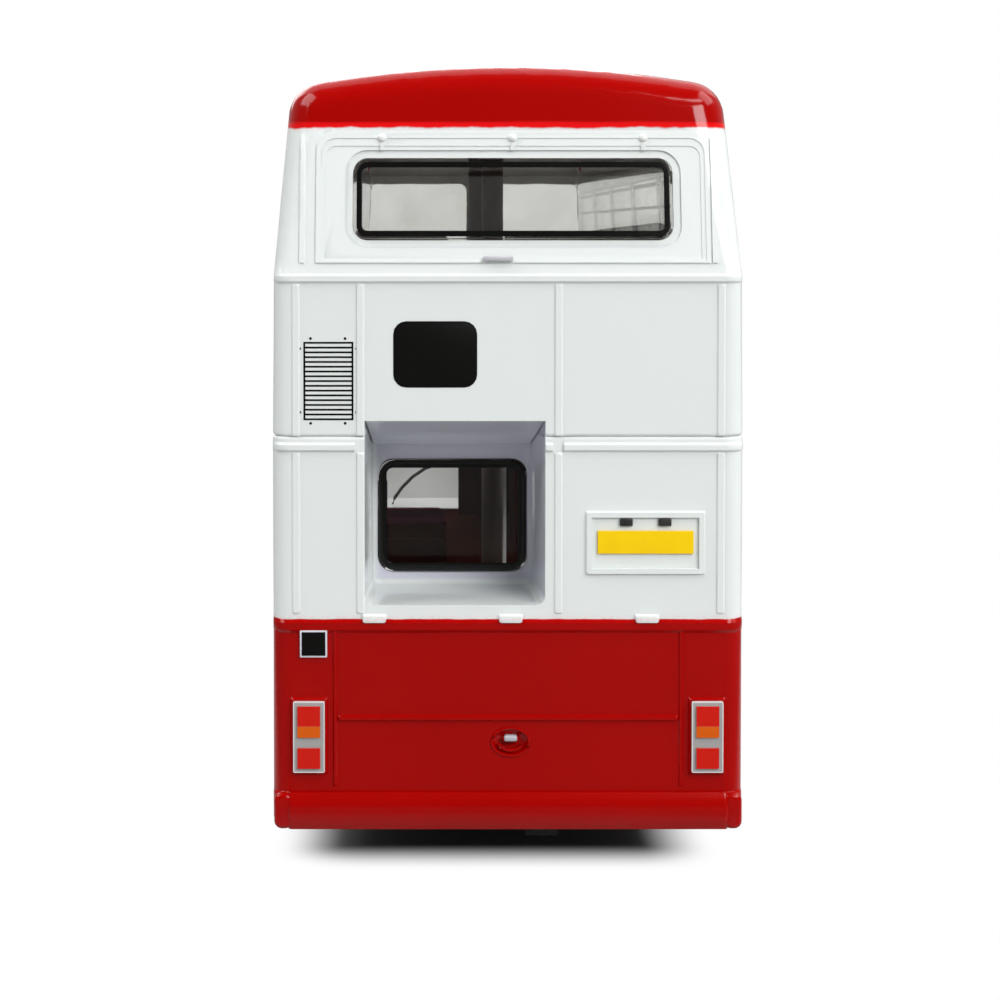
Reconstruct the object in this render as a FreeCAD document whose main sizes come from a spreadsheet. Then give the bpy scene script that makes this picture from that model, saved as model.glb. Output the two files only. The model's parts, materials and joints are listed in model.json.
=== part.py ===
"""A 1:76 die-cast model of a British rear-engined double-decker bus.

Frame: +X is the bus's right (offside), +Y is forward, +Z is up. The origin is on the ground, under the
middle of the bus. Millimetres. Two zinc body castings, one above the other, hold clear glazing, brown saloon
mouldings and a black chassis that carries two steel axles with their wheels.
"""

import FreeCAD, Part

import math
import os
import re

from FreeCAD import Placement, Rotation, Vector
from Sketcher import Constraint

# ---------------------------------------------------------------- driving dimensions

SIZES = [
    # alias, millimetres, what it is
    ("body_length", 125.8, "over the two end faces"),
    ("body_width", 33.1, "at the lower body"),
    ("body_height", 58.1, "ground to the crown of the roof"),
    ("skirt_height", 4.3, "ground to the bottom edge of the body"),
    ("seam_height", 31.9, "ground to the joint between the two castings"),
    ("paint_height", 19.0, "ground to the top of the red skirt panels"),
    ("waist_drop", 15.15, "crown down to the moulding under the upper windows"),
    ("cant_drop", 4.9, "crown down to the cantrail"),
    ("casting_wall", 1.2, "zinc wall"),
    ("skirt_round", 0.6, "radius of the body's bottom edge"),
    ("corner_radius", 1.3, "upright corners of the body, seen from above"),
    ("roof_corner", 3.3, "the same corners at the roof"),
    ("tumblehome", 0.8, "how far each side leans in at the cantrail"),
    ("rear_rake", 1.9, "how far the rear end leans in at the cantrail"),
    ("front_rake", 3.0, "how far the front end leans in at the cantrail"),
    ("roof_edge", 2.6, "radius of the roof's edge all round"),
    ("roof_camber", 80.0, "radius of the roof's arch, seen from behind"),
    ("moulding_out", 0.2, "how far the rear mouldings stand out"),
    ("moulding_tall", 0.7, "height of a rear moulding"),
    ("lip_drop", 0.75, "seam down to the moulding under it"),
    ("ledge_tall", 0.9, "rounded top edge of the skirt at the rear"),
    ("seam_round", 0.25, "rounded edges of the two castings at the seam"),
    ("strip_out", 0.12, "how far a panel joint strip stands out"),
    ("strip_width", 0.6, "width of a panel joint strip"),
    ("strip_side", 1.4, "body side to the outer strips"),
    ("pad_slope", 0.1, "sloping edge of a raised pad"),
    ("pad_root", 0.3, "how deep a raised pad is rooted"),
    ("fit_gap", 0.08, "clearance between seated mouldings"),
    ("trim_gap", 0.02, "clearance behind applied trim"),
    # windows
    ("rear_quarter", 10.0, "blank panel behind the last upper window"),
    ("front_quarter", 6.8, "corner ahead of the first upper window"),
    ("pillar_width", 1.7, "between two side windows"),
    ("upper_sill_rise", 0.95, "waist up to the upper windows"),
    ("upper_head_drop", 2.4, "cantrail down to the upper windows"),
    ("lower_sill_rise", 1.2, "paint line up to the lower windows"),
    ("lower_head_drop", 2.2, "seam down to the lower windows"),
    ("last_window_wide", 14.0, "rearmost lower side window"),
    ("cab_window_wide", 11.2, "driver's side window"),
    ("window_corner", 1.0, "corner radius of a side window"),
    ("screen_corner", 1.5, "corner radius of the windscreen"),
    ("glass_wall", 0.7, "clear moulding"),
    ("glass_lap", 2.5, "clear moulding below the upper windows"),
    ("glass_proud", 0.1, "how far a pane stands out of its opening"),
    ("seal_width", 0.4, "black rubber round each pane"),
    ("seal_edge", 0.2, "clear margin outside the rubber"),
    ("seal_out", 0.12, "how far the rubber stands on the pane"),
    ("front_pillar", 2.0, "centre pillar of the upper front windows"),
    ("front_head_drop", 1.0, "cantrail down to the upper front windows"),
    ("front_pane_side", 0.6, "body left beside the upper front windows"),
    ("screen_side", 1.9, "body left beside the windscreen"),
    ("screen_sill_drop", 4.0, "paint line down to the windscreen"),
    # rear end, upper
    ("rear_window_side", 5.3, "body side to the emergency window"),
    ("rear_window_rise", 2.65, "waist up to that window"),
    ("rear_window_drop", 1.8, "cantrail down to that window"),
    ("rear_window_shift", 0.35, "its offset to the right"),
    ("rear_window_corner", 1.05, "its corner radius"),
    ("dish_wide", 0.55, "shallow dish round that window"),
    ("dish_deep", 0.14, "shallow dish round that window"),
    ("exit_panel_side", 2.75, "body side to the emergency door panel"),
    ("exit_panel_rise", 1.1, "waist up to that panel"),
    ("exit_panel_drop", -0.15, "cantrail down to that panel"),
    ("exit_panel_rim", 0.3, "width of one step of its raised rim"),
    ("exit_panel_head", 0.55, "height of one step of that rim over the panel"),
    ("exit_panel_corner", 1.4, "its upper corner radius"),
    ("corner_bead", 0.35, "upright bead outside that panel"),
    ("corner_bead_side", 1.95, "body side to that bead"),
    ("hinge_pitch", 9.2, "between the three hinge knobs above it"),
    ("hinge_radius", 0.34, "one knob"),
    ("hinge_strap", 0.3, "width of the strap under a knob"),
    ("hinge_long", 1.1, "length of the strap under a knob"),
    ("handle_width", 2.1, "emergency door handle"),
    ("handle_tall", 0.36, "emergency door handle"),
    ("handle_thick", 0.3, "emergency door handle"),
    # rear end, recess
    ("recess_side", 6.5, "left body side to the recess"),
    ("recess_width", 12.65, "mouth of the recess"),
    ("recess_sill", 1.05, "paint line up to the recess"),
    ("recess_rise", 1.1, "seam up to the top of the recess"),
    ("recess_depth", 8.0, "mouth to back wall"),
    ("recess_draft_left", 0.3, "slope of the left cheek"),
    ("recess_draft_right", 0.68, "slope of the right cheek"),
    ("recess_drop", 2.6, "slope of the ceiling"),
    ("recess_wall", 0.9, "cheeks, sill, ceiling and back wall"),
    ("recess_round", 0.6, "radius of its inner corners"),
    ("back_window_left", 0.65, "recess edge to the lower rear window"),
    ("back_window_right", 0.9, "recess edge to the lower rear window"),
    ("back_window_rise", 0.85, "recess sill up to that window"),
    ("back_window_drop", 2.55, "seam down to that window"),
    ("back_window_corner", 1.15, "its corner radius"),
    # rear end, lower
    ("bumper_tall", 2.6, "both bumpers"),
    ("bumper_out", 0.6, "how far the bumpers stand out"),
    ("bumper_lap", 0.25, "how far their wrap round the corners stands out"),
    ("bumper_end", 1.1, "body left beside the bumpers"),
    ("bumper_root", 0.4, "how deep a bumper is rooted"),
    ("bumper_round", 0.3, "rounded ends of a bumper"),
    ("bonnet_side", 4.25, "body side to the engine cover"),
    ("bonnet_edge", 0.35, "raised edge of the engine cover"),
    ("bead_rise", 5.2, "bumper up to the bead across the engine cover"),
    ("bead_tall", 0.44, "that bead"),
    ("tab_pitch", 9.55, "between the three tabs over the engine cover"),
    ("tab_width", 1.75, "one tab"),
    ("tab_out", 0.35, "how far a tab stands out"),
    ("lamp_side", 1.5, "body side to a rear lamp"),
    ("lamp_width", 2.2, "rear lamp"),
    ("lamp_rise", 1.45, "bumper up to a rear lamp"),
    ("lamp_tall", 5.0, "rear lamp"),
    ("lamp_rim", 0.22, "raised surround round a rear lamp"),
    ("lamp_out", 0.22, "how far the surround stands out"),
    ("lamp_thick", 0.2, "lamp housings"),
    ("lens_thick", 0.12, "lenses on their housings"),
    ("lens_inset", 0.3, "housing left beside a lens"),
    ("plate_side", 3.6, "body side to the rear number plate"),
    ("plate_width", 6.7, "number plates"),
    ("plate_rise", 4.7, "paint line up to the rear number plate"),
    ("plate_tall", 1.6, "number plates"),
    ("plate_thick", 0.15, "number plates"),
    ("plate_panel_tall", 4.5, "raised frame round the rear plate"),
    ("plate_panel_low", 1.5, "frame below the plate"),
    ("plate_panel_side", 0.85, "frame beyond the plate, each side"),
    ("plate_panel_rim", 0.45, "width of that frame"),
    ("plate_lamp_wide", 0.9, "a lamp over the rear plate"),
    ("plate_lamp_tall", 0.5, "a lamp over the rear plate"),
    ("plate_lamp_pitch", 2.7, "between those two lamps"),
    ("plate_lamp_rise", 0.35, "plate up to those lamps"),
    ("catch_drop", 1.7, "bead down to the bonnet catch dish"),
    ("catch_dish", 1.3, "ball radius of the dish"),
    ("catch_depth", 0.4, "depth of the dish"),
    ("catch_wide", 0.35, "ball centre to the middle of the dish"),
    ("catch_bar", 0.36, "handle in the dish"),
    ("catch_long", 1.1, "handle in the dish"),
    ("catch_lift", 0.22, "middle of the dish up to its handle"),
    # front end
    ("display_side", 4.45, "body side to the front destination box"),
    ("display_rise", 2.1, "seam up to that box"),
    ("display_drop", 1.95, "waist down to that box"),
    ("display_corner", 0.8, "corner radius of both boxes"),
    ("side_display_width", 12.0, "destination box over the front door"),
    ("side_display_rise", 1.2, "seam up to that box"),
    ("side_display_tall", 3.6, "that box"),
    ("display_depth", 0.5, "pocket for a destination box"),
    ("display_thick", 0.45, "destination glass"),
    ("headlamp_radius", 1.25, "one of the four headlamps"),
    ("headlamp_side", 4.25, "body side to the middle of the outer headlamps"),
    ("headlamp_pitch", 3.2, "inner to outer headlamp"),
    ("headlamp_rise", 3.7, "bumper up to the headlamps"),
    ("indicator_drop", 1.4, "windscreen down to the front indicators"),
    ("indicator_wide", 1.8, "front indicator"),
    ("indicator_tall", 0.9, "front indicator"),
    ("front_plate_rise", 1.3, "bumper up to the front number plate"),
    ("mirror_out", 2.4, "mirror beyond the body side"),
    ("mirror_wide", 1.5, "mirror head"),
    ("mirror_tall", 3.2, "mirror head"),
    ("mirror_thick", 0.6, "mirror head"),
    ("mirror_arm", 0.5, "mirror arm"),
    ("mirror_drop", 6.4, "seam down to the middle of the mirror head"),
    ("mirror_behind", 2.3, "front end to the mirrors"),
    ("wiper_thick", 0.25, "wiper arm and blade"),
    ("wiper_arm", 7.5, "pivot to the middle of the blade"),
    ("wiper_blade", 7.8, "wiper blade"),
    ("wiper_pivot", 6.5, "middle of the screen to a wiper's pivot"),
    ("wiper_foot", 0.8, "windscreen down to the pivots"),
    # doors
    ("door_bottom", 6.5, "ground to both doors"),
    ("door_thick", 0.7, "door moulding"),
    ("door_inset", 0.35, "door face behind the body side"),
    ("door_frame", 0.6, "frame round a door pane"),
    ("door_glass_lap", 0.4, "door opening beyond the clear moulding, each side"),
    ("front_door_ahead", 5.2, "front end to front door"),
    ("front_door_wide", 14.4, "front door"),
    ("exit_door_wide", 13.4, "middle door"),
    ("exit_door_behind", 1.0, "front wheel arch to middle door"),
    # running gear
    ("front_overhang", 29.5, "front end to front axle"),
    ("wheelbase", 65.2, "axle to axle"),
    ("tyre_radius", 6.5, "both axles"),
    ("tyre_width", 3.4, "one tyre"),
    ("tyre_inset", 0.55, "body side to the outer side wall"),
    ("tyre_edge", 0.5, "shoulder chamfer of a tyre"),
    ("twin_gap", 0.6, "between the twin rear tyres"),
    ("twin_groove", 1.8, "depth of that gap"),
    ("rim_radius", 3.9, "rim under the tyre"),
    ("rim_wall", 0.5, "rim flange"),
    ("hub_dish", 0.9, "front wheel disc behind the side wall"),
    ("twin_dish", 2.2, "rear wheel disc behind the side wall"),
    ("hub_disc", 1.2, "thickness of a wheel disc"),
    ("nave_radius", 1.6, "nave in the middle of a disc"),
    ("nave_out", 0.7, "nave beyond the disc"),
    ("axle_radius", 0.8, "steel axle"),
    ("axle_gap", 0.05, "running clearance in the bearing"),
    ("arch_radius", 7.5, "wheel arch"),
    ("wheel_gap", 0.5, "tyre to wheel box"),
    ("bearing_long", 4.8, "axle bearing block, lengthways"),
    # floors and seats
    ("floor_corner", 0.5, "corner radius of the floors and the chassis"),
    ("base_bottom", 4.8, "ground to the under side of the chassis plate"),
    ("base_thick", 1.2, "chassis plate"),
    ("floor_top", 9.9, "ground to the lower saloon floor"),
    ("floor_thick", 0.9, "lower saloon floor"),
    ("upper_floor_rise", 0.6, "upper saloon floor above the seam"),
    ("upper_floor_thick", 1.2, "upper saloon floor"),
    ("seat_pitch", 9.2, "seat to seat"),
    ("seat_wide", 10.4, "one double seat"),
    ("seat_deep", 5.0, "cushion, front to back"),
    ("seat_rise", 5.6, "cushion top above the floor"),
    ("seat_cushion", 1.2, "cushion"),
    ("seat_plinth", 0.4, "cushion beyond its plinth"),
    ("seat_back", 13.2, "back top above the floor"),
    ("low_seat_rise", 4.2, "cushion top above the lower saloon floor"),
    ("low_seat_back", 7.9, "back top above the lower saloon floor"),
    ("seat_back_thick", 0.9, "back"),
    ("seat_corner", 0.9, "corner radius of a back"),
    ("first_seat", 3.0, "engine wall to the rearmost upper seats"),
    ("wheel_seat", 2.0, "wheel box to the first lower seats"),
    ("lower_rows", 3, "rows of lower seats ahead of the rear wheels"),
    ("box_wall", 0.8, "wheel boxes, bulkheads and panels"),
    ("platform_drop", 5.5, "lower rear window down to the rear platform"),
    ("bench_drop", 0.5, "lower rear window down to the top of the rear bench"),
    ("bench_thick", 1.0, "back of the rear bench"),
    ("stair_rise", 2.6, "one stair"),
    ("stair_behind", 6.0, "front wheel box to the rear of the stairs"),
    ("stair_ahead", 2.0, "front wheel box to the front of the stairs"),
    ("stair_well", 8.0, "opening over the stairs, lengthways"),
    ("bulkhead_reach", 2.3, "cab bulkhead beyond the middle"),
    ("driver_side", 8.2, "body side to the middle of the driver"),
    ("driver_wide", 4.5, "driver's seat"),
    ("driver_behind", 2.0, "cab bulkhead to the driver's seat"),
    ("driver_rise", 4.0, "floor to the driver's cushion"),
    ("driver_back", 9.0, "floor to the top of the driver's back"),
    ("dash_deep", 2.6, "dashboard"),
    ("dash_rise", 0.4, "windscreen sill up to the dashboard"),
    ("dash_left", 2.5, "middle to the dashboard"),
    ("wheel_rim", 2.4, "steering wheel"),
    ("wheel_wire", 0.25, "its rim"),
    ("wheel_stem", 0.4, "its column"),
    ("wheel_lift", 2.0, "dashboard up to the steering wheel"),
    ("wheel_behind", 2.7, "dashboard back to the steering wheel"),
    # chassis and fixings
    ("sump_start", 2.0, "rear wall to the engine sump"),
    ("sump_long", 12.0, "engine sump"),
    ("sump_wide", 17.0, "engine sump"),
    ("sump_deep", 1.3, "engine sump below the plate"),
    ("drain_side", 1.4, "middle to the oil drain box"),
    ("drain_wide", 2.3, "oil drain box"),
    ("drain_deep", 2.1, "oil drain box below the plate"),
    ("gearbox_long", 3.5, "gearbox"),
    ("gearbox_wide", 8.0, "gearbox"),
    ("tank_long", 16.0, "fuel tank"),
    ("tank_wide", 6.2, "fuel tank"),
    ("tank_deep", 1.2, "tank and gearbox below the plate"),
    ("tank_side", 1.0, "chassis edge to the tank"),
    ("tank_behind", 37.0, "front axle back to the middle of the tank"),
    ("silencer_radius", 0.9, "exhaust silencer"),
    ("silencer_long", 6.0, "exhaust silencer"),
    ("post_radius", 0.95, "assembly column"),
    ("rear_post", 6.9, "rear axle to the rear column"),
    ("front_post", 12.0, "front axle to the front column"),
    ("post_gap", 0.06, "column top to the roof inside"),
    ("screw_radius", 0.55, "screw shank"),
    ("screw_long", 7.0, "screw"),
    ("screw_head", 1.35, "screw head radius"),
    ("screw_head_tall", 0.6, "screw head"),
    ("plinth_bore", 0.9, "radius of the plinth sockets"),
    ("plinth_depth", 3.0, "depth of the plinth sockets"),
    ("plinth_wall", 0.9, "boss round and over a socket"),
    ("rear_socket", 11.1, "rear axle back to the rear plinth socket"),
    ("front_socket", 20.5, "front axle to the front plinth socket"),
]

doc = FreeCAD.newDocument("DoubleDeckBus")
sheet = doc.addObject("Spreadsheet::Sheet", "Dims")
for row, (alias, value, note) in enumerate(SIZES, start=1):
    sheet.set(f"A{row}", str(value))
    sheet.setAlias(f"A{row}", alias)
    sheet.set(f"B{row}", note)
doc.recompute()


def bound(text):
    """The expression with each dimension's name pointed at the sheet."""
    return re.sub(r"[a-z][a-z_]+", lambda word: "Dims." + word[0], text)


def size(text):
    """The value of one dimension, or of a sum of them."""
    return float(sheet.evalExpression(text))


FRONT_AXLE_Y = "body_length / 2 - front_overhang"
REAR_AXLE_Y = "body_length / 2 - front_overhang - wheelbase"
REAR_POST_Y = REAR_AXLE_Y + " + rear_post"
FRONT_POST_Y = FRONT_AXLE_Y + " + front_post"
BASE_TOP = "base_bottom + base_thick"
TYRE_OUTER = "(body_width / 2 - tyre_inset)"
BUMPER_TOP = "skirt_height + bumper_tall"
DOOR_TOP = "seam_height - lower_head_drop"
SCREEN_SILL = "paint_height - screen_sill_drop"

REAR = -size("body_length / 2")
FRONT = size("body_length / 2")
HALF = size("body_width / 2")
WALL = size("casting_wall")
FIT = size("fit_gap")
TRIM = size("trim_gap")
SEAM = size("seam_height")
PAINT = size("paint_height")
WAIST = size("body_height - waist_drop")
CANT = size("body_height - cant_drop")
BUMPER = size(BUMPER_TOP)
SILL = size(SCREEN_SILL)
GLASS = size("glass_wall")
FRONT_AXLE = size(FRONT_AXLE_Y)
REAR_AXLE = size(REAR_AXLE_Y)
INSIDE = HALF - WALL - FIT
LINING = INSIDE - GLASS - FIT
# parts of a rear lamp from the top down, as (share of the height, whether it is a lens)
LENS_STACK = ((6.3, True), (3.5, True), (3.2, False), (6.5, True))
WHEEL_REACH = size("tyre_radius + wheel_gap")
POSTS = (size(REAR_POST_Y), size(FRONT_POST_Y))

# ---------------------------------------------------------------- shapes from Part's own functions


def box(x0, x1, y0, y1, z0, z1):
    """A block between two corners."""
    return Part.makeBox(x1 - x0, y1 - y0, z1 - z0, Vector(x0, y0, z0))


def side_box(side, near, far, y0, y1, z0, z1):
    """A block on one side of the bus, near and far from the middle; side is -1 or 1."""
    x0, x1 = sorted((side * near, side * far))
    return box(x0, x1, y0, y1, z0, z1)


def rounded_wire(u0, u1, v0, v1, r, place):
    """A rectangle with round corners; place(u, v) gives each point."""
    r = min(r, (u1 - u0) / 2 - 0.01, (v1 - v0) / 2 - 0.01)
    k = r * (1 - math.sqrt(0.5))
    corners = [
        ((u1 - r, v0), (u1 - k, v0 + k), (u1, v0 + r)),
        ((u1, v1 - r), (u1 - k, v1 - k), (u1 - r, v1)),
        ((u0 + r, v1), (u0 + k, v1 - k), (u0, v1 - r)),
        ((u0, v0 + r), (u0 + k, v0 + k), (u0 + r, v0)),
    ]
    edges = []
    last = corners[-1][2]
    for start, middle, end in corners:
        edges.append(Part.LineSegment(place(*last), place(*start)).toShape())
        edges.append(Part.Arc(place(*start), place(*middle), place(*end)).toShape())
        last = end
    return Part.Wire(edges)


def across(y):
    """Places u, v in an upright plane that faces along the bus."""
    return lambda u, v: Vector(u, y, v)


def along(x):
    """Places u, v in an upright plane that faces sideways."""
    return lambda u, v: Vector(x, u, v)


def level(z):
    """Places u, v in a level plane."""
    return lambda u, v: Vector(u, v, z)


def end_slot(x0, x1, z0, z1, r, y0, y1):
    """A rounded block that runs along the bus, from y0 to y1."""
    return Part.Face(rounded_wire(x0, x1, z0, z1, r, across(y0))).extrude(Vector(0, y1 - y0, 0))


def side_slot(y0, y1, z0, z1, r, x0, x1):
    """A rounded block that runs across the bus, from x0 to x1."""
    return Part.Face(rounded_wire(y0, y1, z0, z1, r, along(x0))).extrude(Vector(x1 - x0, 0, 0))


def slab(x, y0, y1, r, z0, z1):
    """A level plate, x wide each side of the middle."""
    return Part.Face(rounded_wire(-x, x, y0, y1, r, level(z0))).extrude(Vector(0, 0, z1 - z0))


def loft(wires):
    """A solid with straight sides between its sections."""
    return Part.makeLoft(wires, True, True)


def rod(radius, start, end):
    """A round bar between two points."""
    way = end - start
    return Part.makeCylinder(radius, way.Length, start, way)


def post(radius, x, y, z0, z1):
    """An upright round bar."""
    return Part.makeCylinder(radius, z1 - z0, Vector(x, y, z0))


def fuse(shapes):
    """One shape from several, with no seams between coplanar faces."""
    first, rest = shapes[0], shapes[1:]
    return (first.multiFuse(rest) if rest else first).removeSplitter()


def cut(shape, tools):
    """The shape with every tool taken out of it."""
    return shape.cut(Part.makeCompound(tools)).removeSplitter()


def rear_pad(x0, x1, z0, z1, out):
    """A low raised pad on the upright rear face, with sloping edges."""
    slope = size("pad_slope")
    rows = ((REAR + size("pad_root"), 0.0), (REAR, 0.0), (REAR - out, slope))
    return loft([
        rounded_wire(x0 + s, x1 - s, z0 + s, z1 - s, slope + s, across(y)) for y, s in rows
    ])


# ---------------------------------------------------------------- the outer form of the body


def outline(side, rear, front, corner, z, grow):
    """The body's outline at one height; grow moves it outwards."""
    x = HALF - side + grow
    y0, y1 = REAR + rear - grow, FRONT - front + grow
    return rounded_wire(-x, x, y0, y1, max(corner + grow, 0.2), level(z))


def upper_lean(z):
    """How far the side, the rear and the front lean in at one height of the upper body."""
    waist = WAIST + size("moulding_tall / 2")
    below = 0.12
    if z < waist:
        share = below * (z - SEAM) / (waist - SEAM)
        above = 0.0
    else:
        above = (z - waist) / (CANT - waist)
        share = below + (1 - below) * above
    return size("tumblehome") * share, size("rear_rake") * above, size("front_rake") * share


def upper_rows():
    """Outlines of the upper body as (height, rear moulding, corner radius)."""
    tall, out, corner = size("moulding_tall"), size("moulding_out"), size("corner_radius")
    return [
        (SEAM, 0.0, corner),
        (WAIST - tall / 2, 0.0, corner),
        (WAIST - tall / 4, out, corner),
        (WAIST + tall / 4, out, corner),
        (WAIST + tall / 2, 0.0, corner),
        (size("body_height + roof_edge"), 0.0, size("roof_corner")),
    ]


def roof_arch(grow):
    """Everything under the roof's arch, as one long block."""
    radius, crown = size("roof_camber") + grow, size("body_height") + grow
    x, y, floor = HALF * 1.5, FRONT + 5.0, 0.0
    edge = crown - radius + math.sqrt(radius ** 2 - x ** 2)
    left, right = Vector(-x, -y, edge), Vector(x, -y, edge)
    profile = Part.Wire([
        Part.Arc(left, Vector(0, -y, crown), right).toShape(),
        Part.makePolygon([right, Vector(x, -y, floor), Vector(-x, -y, floor), left]),
    ])
    return Part.Face(profile).extrude(Vector(0, 2 * y, 0))


def upper_form(grow=0.0, bottom=SEAM):
    """The upper body as a solid, grown outwards or shrunk, from its bottom to the roof."""
    wires = []
    for z, out, corner in upper_rows():
        side, rear, front = upper_lean(z)
        wires.append(outline(side, rear - out, front, corner, bottom if z == SEAM else z, grow))
    form = loft(wires).common(roof_arch(grow))
    edges = [edge for edge in form.Edges if edge.BoundBox.ZMin > CANT]
    radius = min(size("roof_edge"), size("roof_corner") - 0.5) + grow
    return form.makeFillet(max(radius, 0.2), edges)


def lower_rows():
    """Outlines of the lower body as (height, inset, rear moulding, front moulding)."""
    skirt, edge, lap = size("skirt_height"), size("skirt_round"), size("bumper_lap")
    tall, out, ledge = size("moulding_tall"), size("moulding_out"), size("ledge_tall")
    lip = SEAM - size("lip_drop")
    turns = [math.radians(a) for a in (0, 30, 60, 90)]
    rows = [
        (skirt + edge * (1 - math.cos(a)), edge * (1 - math.sin(a)), lap * math.sin(a), lap * math.sin(a))
        for a in turns
    ]
    rows += [(BUMPER - lap, 0.0, lap, lap), (BUMPER, 0.0, 0.0, 0.0)]
    for low, high in ((PAINT - ledge, PAINT + FIT), (lip - tall / 2, lip + tall / 2)):
        quarter = (high - low) / 4
        rows += [(low, 0.0, 0.0, 0.0), (low + quarter, 0.0, out, 0.0), (high - quarter, 0.0, out, 0.0),
                 (high, 0.0, 0.0, 0.0)]
    return rows + [(SEAM, 0.0, 0.0, 0.0)]


def lower_form(grow=0.0, bottom=None, top=None, plain=False):
    """The lower body as a solid, with its rear mouldings and rounded bottom edge unless it is plain."""
    corner = size("corner_radius")
    if plain:
        ends = (bottom if bottom is not None else size("skirt_height"), top if top is not None else SEAM)
        return loft([outline(0.0, 0.0, 0.0, corner, z, grow) for z in ends])
    return loft([
        outline(inset, inset - rear, inset - front, corner, z, grow)
        for z, inset, rear, front in lower_rows()
    ])


def seam_rounded(form):
    """The form with the edge that meets the other casting rounded."""
    edges = [edge for edge in form.Edges
             if abs(edge.BoundBox.ZMin - SEAM) < TRIM and abs(edge.BoundBox.ZMax - SEAM) < TRIM]
    return form.makeFillet(size("seam_round"), edges)


# ---------------------------------------------------------------- windows and doors


def upper_bays():
    """Rear and front edge of each upper side window."""
    count = 5
    first = REAR + size("rear_quarter")
    pitch = (size("body_length - rear_quarter - front_quarter")) / count
    half = size("pillar_width / 2")
    return [(first + pitch * n + half, first + pitch * (n + 1) - half) for n in range(count)]


def front_door_span():
    """Rear and front edge of the front door."""
    front = FRONT - size("front_door_ahead")
    return front - size("front_door_wide"), front


def exit_door_span():
    """Rear and front edge of the middle door, just behind the front wheel arch."""
    front = FRONT_AXLE - size("arch_radius + exit_door_behind")
    return front - size("exit_door_wide"), front


def engine_wall():
    """Where the lower saloon ends at the back."""
    return REAR + size("recess_depth + recess_wall")


def lower_bays(side):
    """Rear and front edge of each lower side window; side is -1 on the left and 1 on the right."""
    pillar = size("pillar_width")
    uppers = upper_bays()
    bays = [(uppers[1][0] - pillar - size("last_window_wide"), uppers[1][0] - pillar), uppers[1]]
    if side < 0:
        rear, front = exit_door_span()
        bays.append((uppers[2][0], rear - pillar))
        bays.append((front + pillar, front_door_span()[0] - pillar))
    else:
        bays.append(uppers[2])
        front = FRONT - size("front_door_ahead")
        bays.append((front - size("cab_window_wide"), front))
    return bays


def rear_window_slot(inset, y1):
    """The upper rear window, made smaller by the inset, as far as y1."""
    middle, wide = size("rear_window_shift"), HALF - size("rear_window_side") - inset
    low = WAIST + size("rear_window_rise") + inset
    high = CANT - size("rear_window_drop") - inset
    return end_slot(middle - wide, middle + wide, low, high, size("rear_window_corner") - inset, REAR - 1, y1)


def upper_slots(inset=0.0, front=True):
    """Every upper window opening as a solid, each made smaller by the inset."""
    reach, s, r = WALL * 2, inset, size("window_corner") - inset
    sill, head = WAIST + size("upper_sill_rise") + s, CANT - size("upper_head_drop") - s
    slots = []
    for y0, y1 in upper_bays():
        for x0, x1 in ((-HALF - 1, reach - HALF), (HALF - reach, HALF + 1)):
            slots.append(side_slot(y0 + s, y1 - s, sill, head, r, x0, x1))
    slots.append(rear_window_slot(s, REAR + size("rear_rake") + reach))
    if not front:
        return slots
    post_half, edge = size("front_pillar / 2"), HALF - size("tumblehome + front_pane_side")
    for x0, x1 in ((-edge, -post_half), (post_half, edge)):
        slots.append(end_slot(x0 + s, x1 - s, sill, CANT - size("front_head_drop") - s, r,
                              FRONT - size("front_rake") - reach, FRONT + 1))
    return slots


def lower_slots(inset=0.0):
    """Every lower window opening as a solid, each made smaller by the inset."""
    reach, s, r = WALL * 2, inset, size("window_corner") - inset
    sill, head = PAINT + size("lower_sill_rise") + s, size(DOOR_TOP) - s
    slots = []
    for side in (-1, 1):
        x0, x1 = sorted((side * (HALF + 1), side * (HALF - reach)))
        for y0, y1 in lower_bays(side):
            slots.append(side_slot(y0 + s, y1 - s, sill, head, r, x0, x1))
    edge = HALF - size("screen_side") - s
    slots.append(end_slot(-edge, edge, SILL + s, head, size("screen_corner") - s, FRONT - reach, FRONT + 1))
    return slots


def back_window_slot(inset, y0, y1):
    """The lower rear window, in the back wall of the recess."""
    (_, left, right, bottom, _), _ = recess_rows()
    return end_slot(
        left + size("back_window_left") + inset, right - size("back_window_right") - inset,
        bottom + size("back_window_rise") + inset, SEAM - size("back_window_drop") - inset,
        size("back_window_corner") - inset, y0, y1,
    )


# ---------------------------------------------------------------- castings


def recess_rows(shrink=0.0):
    """Mouth and back of the recess as (y, left, right, bottom, top), smaller by a clearance."""
    left = size("recess_side") - HALF + shrink
    right = left + size("recess_width") - 2 * shrink
    bottom, top = PAINT + size("recess_sill"), SEAM + size("recess_rise")
    return [
        (REAR, left, right, bottom, top),
        (REAR + size("recess_depth"), left + size("recess_draft_left"),
         right - size("recess_draft_right"), bottom, top - size("recess_drop")),
    ]


def wedge(rows):
    """A solid between two upright rectangles, each (y, left, right, bottom, top)."""
    wires = []
    for y, x0, x1, z0, z1 in rows:
        points = [Vector(x0, y, z0), Vector(x1, y, z0), Vector(x1, y, z1), Vector(x0, y, z1)]
        wires.append(Part.makePolygon(points + points[:1]))
    return loft(wires)


def recess_corners(shape, back, sill=None):
    """The shape with its upright edges at the back rounded, and those along its sill if it has one."""
    edges = []
    for edge in shape.Edges:
        span = edge.BoundBox
        upright = abs(span.YMin - back) < TRIM and abs(span.YMax - back) < TRIM and span.XLength < span.ZLength
        if upright or (sill is not None and abs(span.ZMax - sill) < TRIM and span.YMax > REAR + TRIM):
            edges.append(edge)
    return shape.makeFillet(size("recess_round"), edges)


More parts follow.
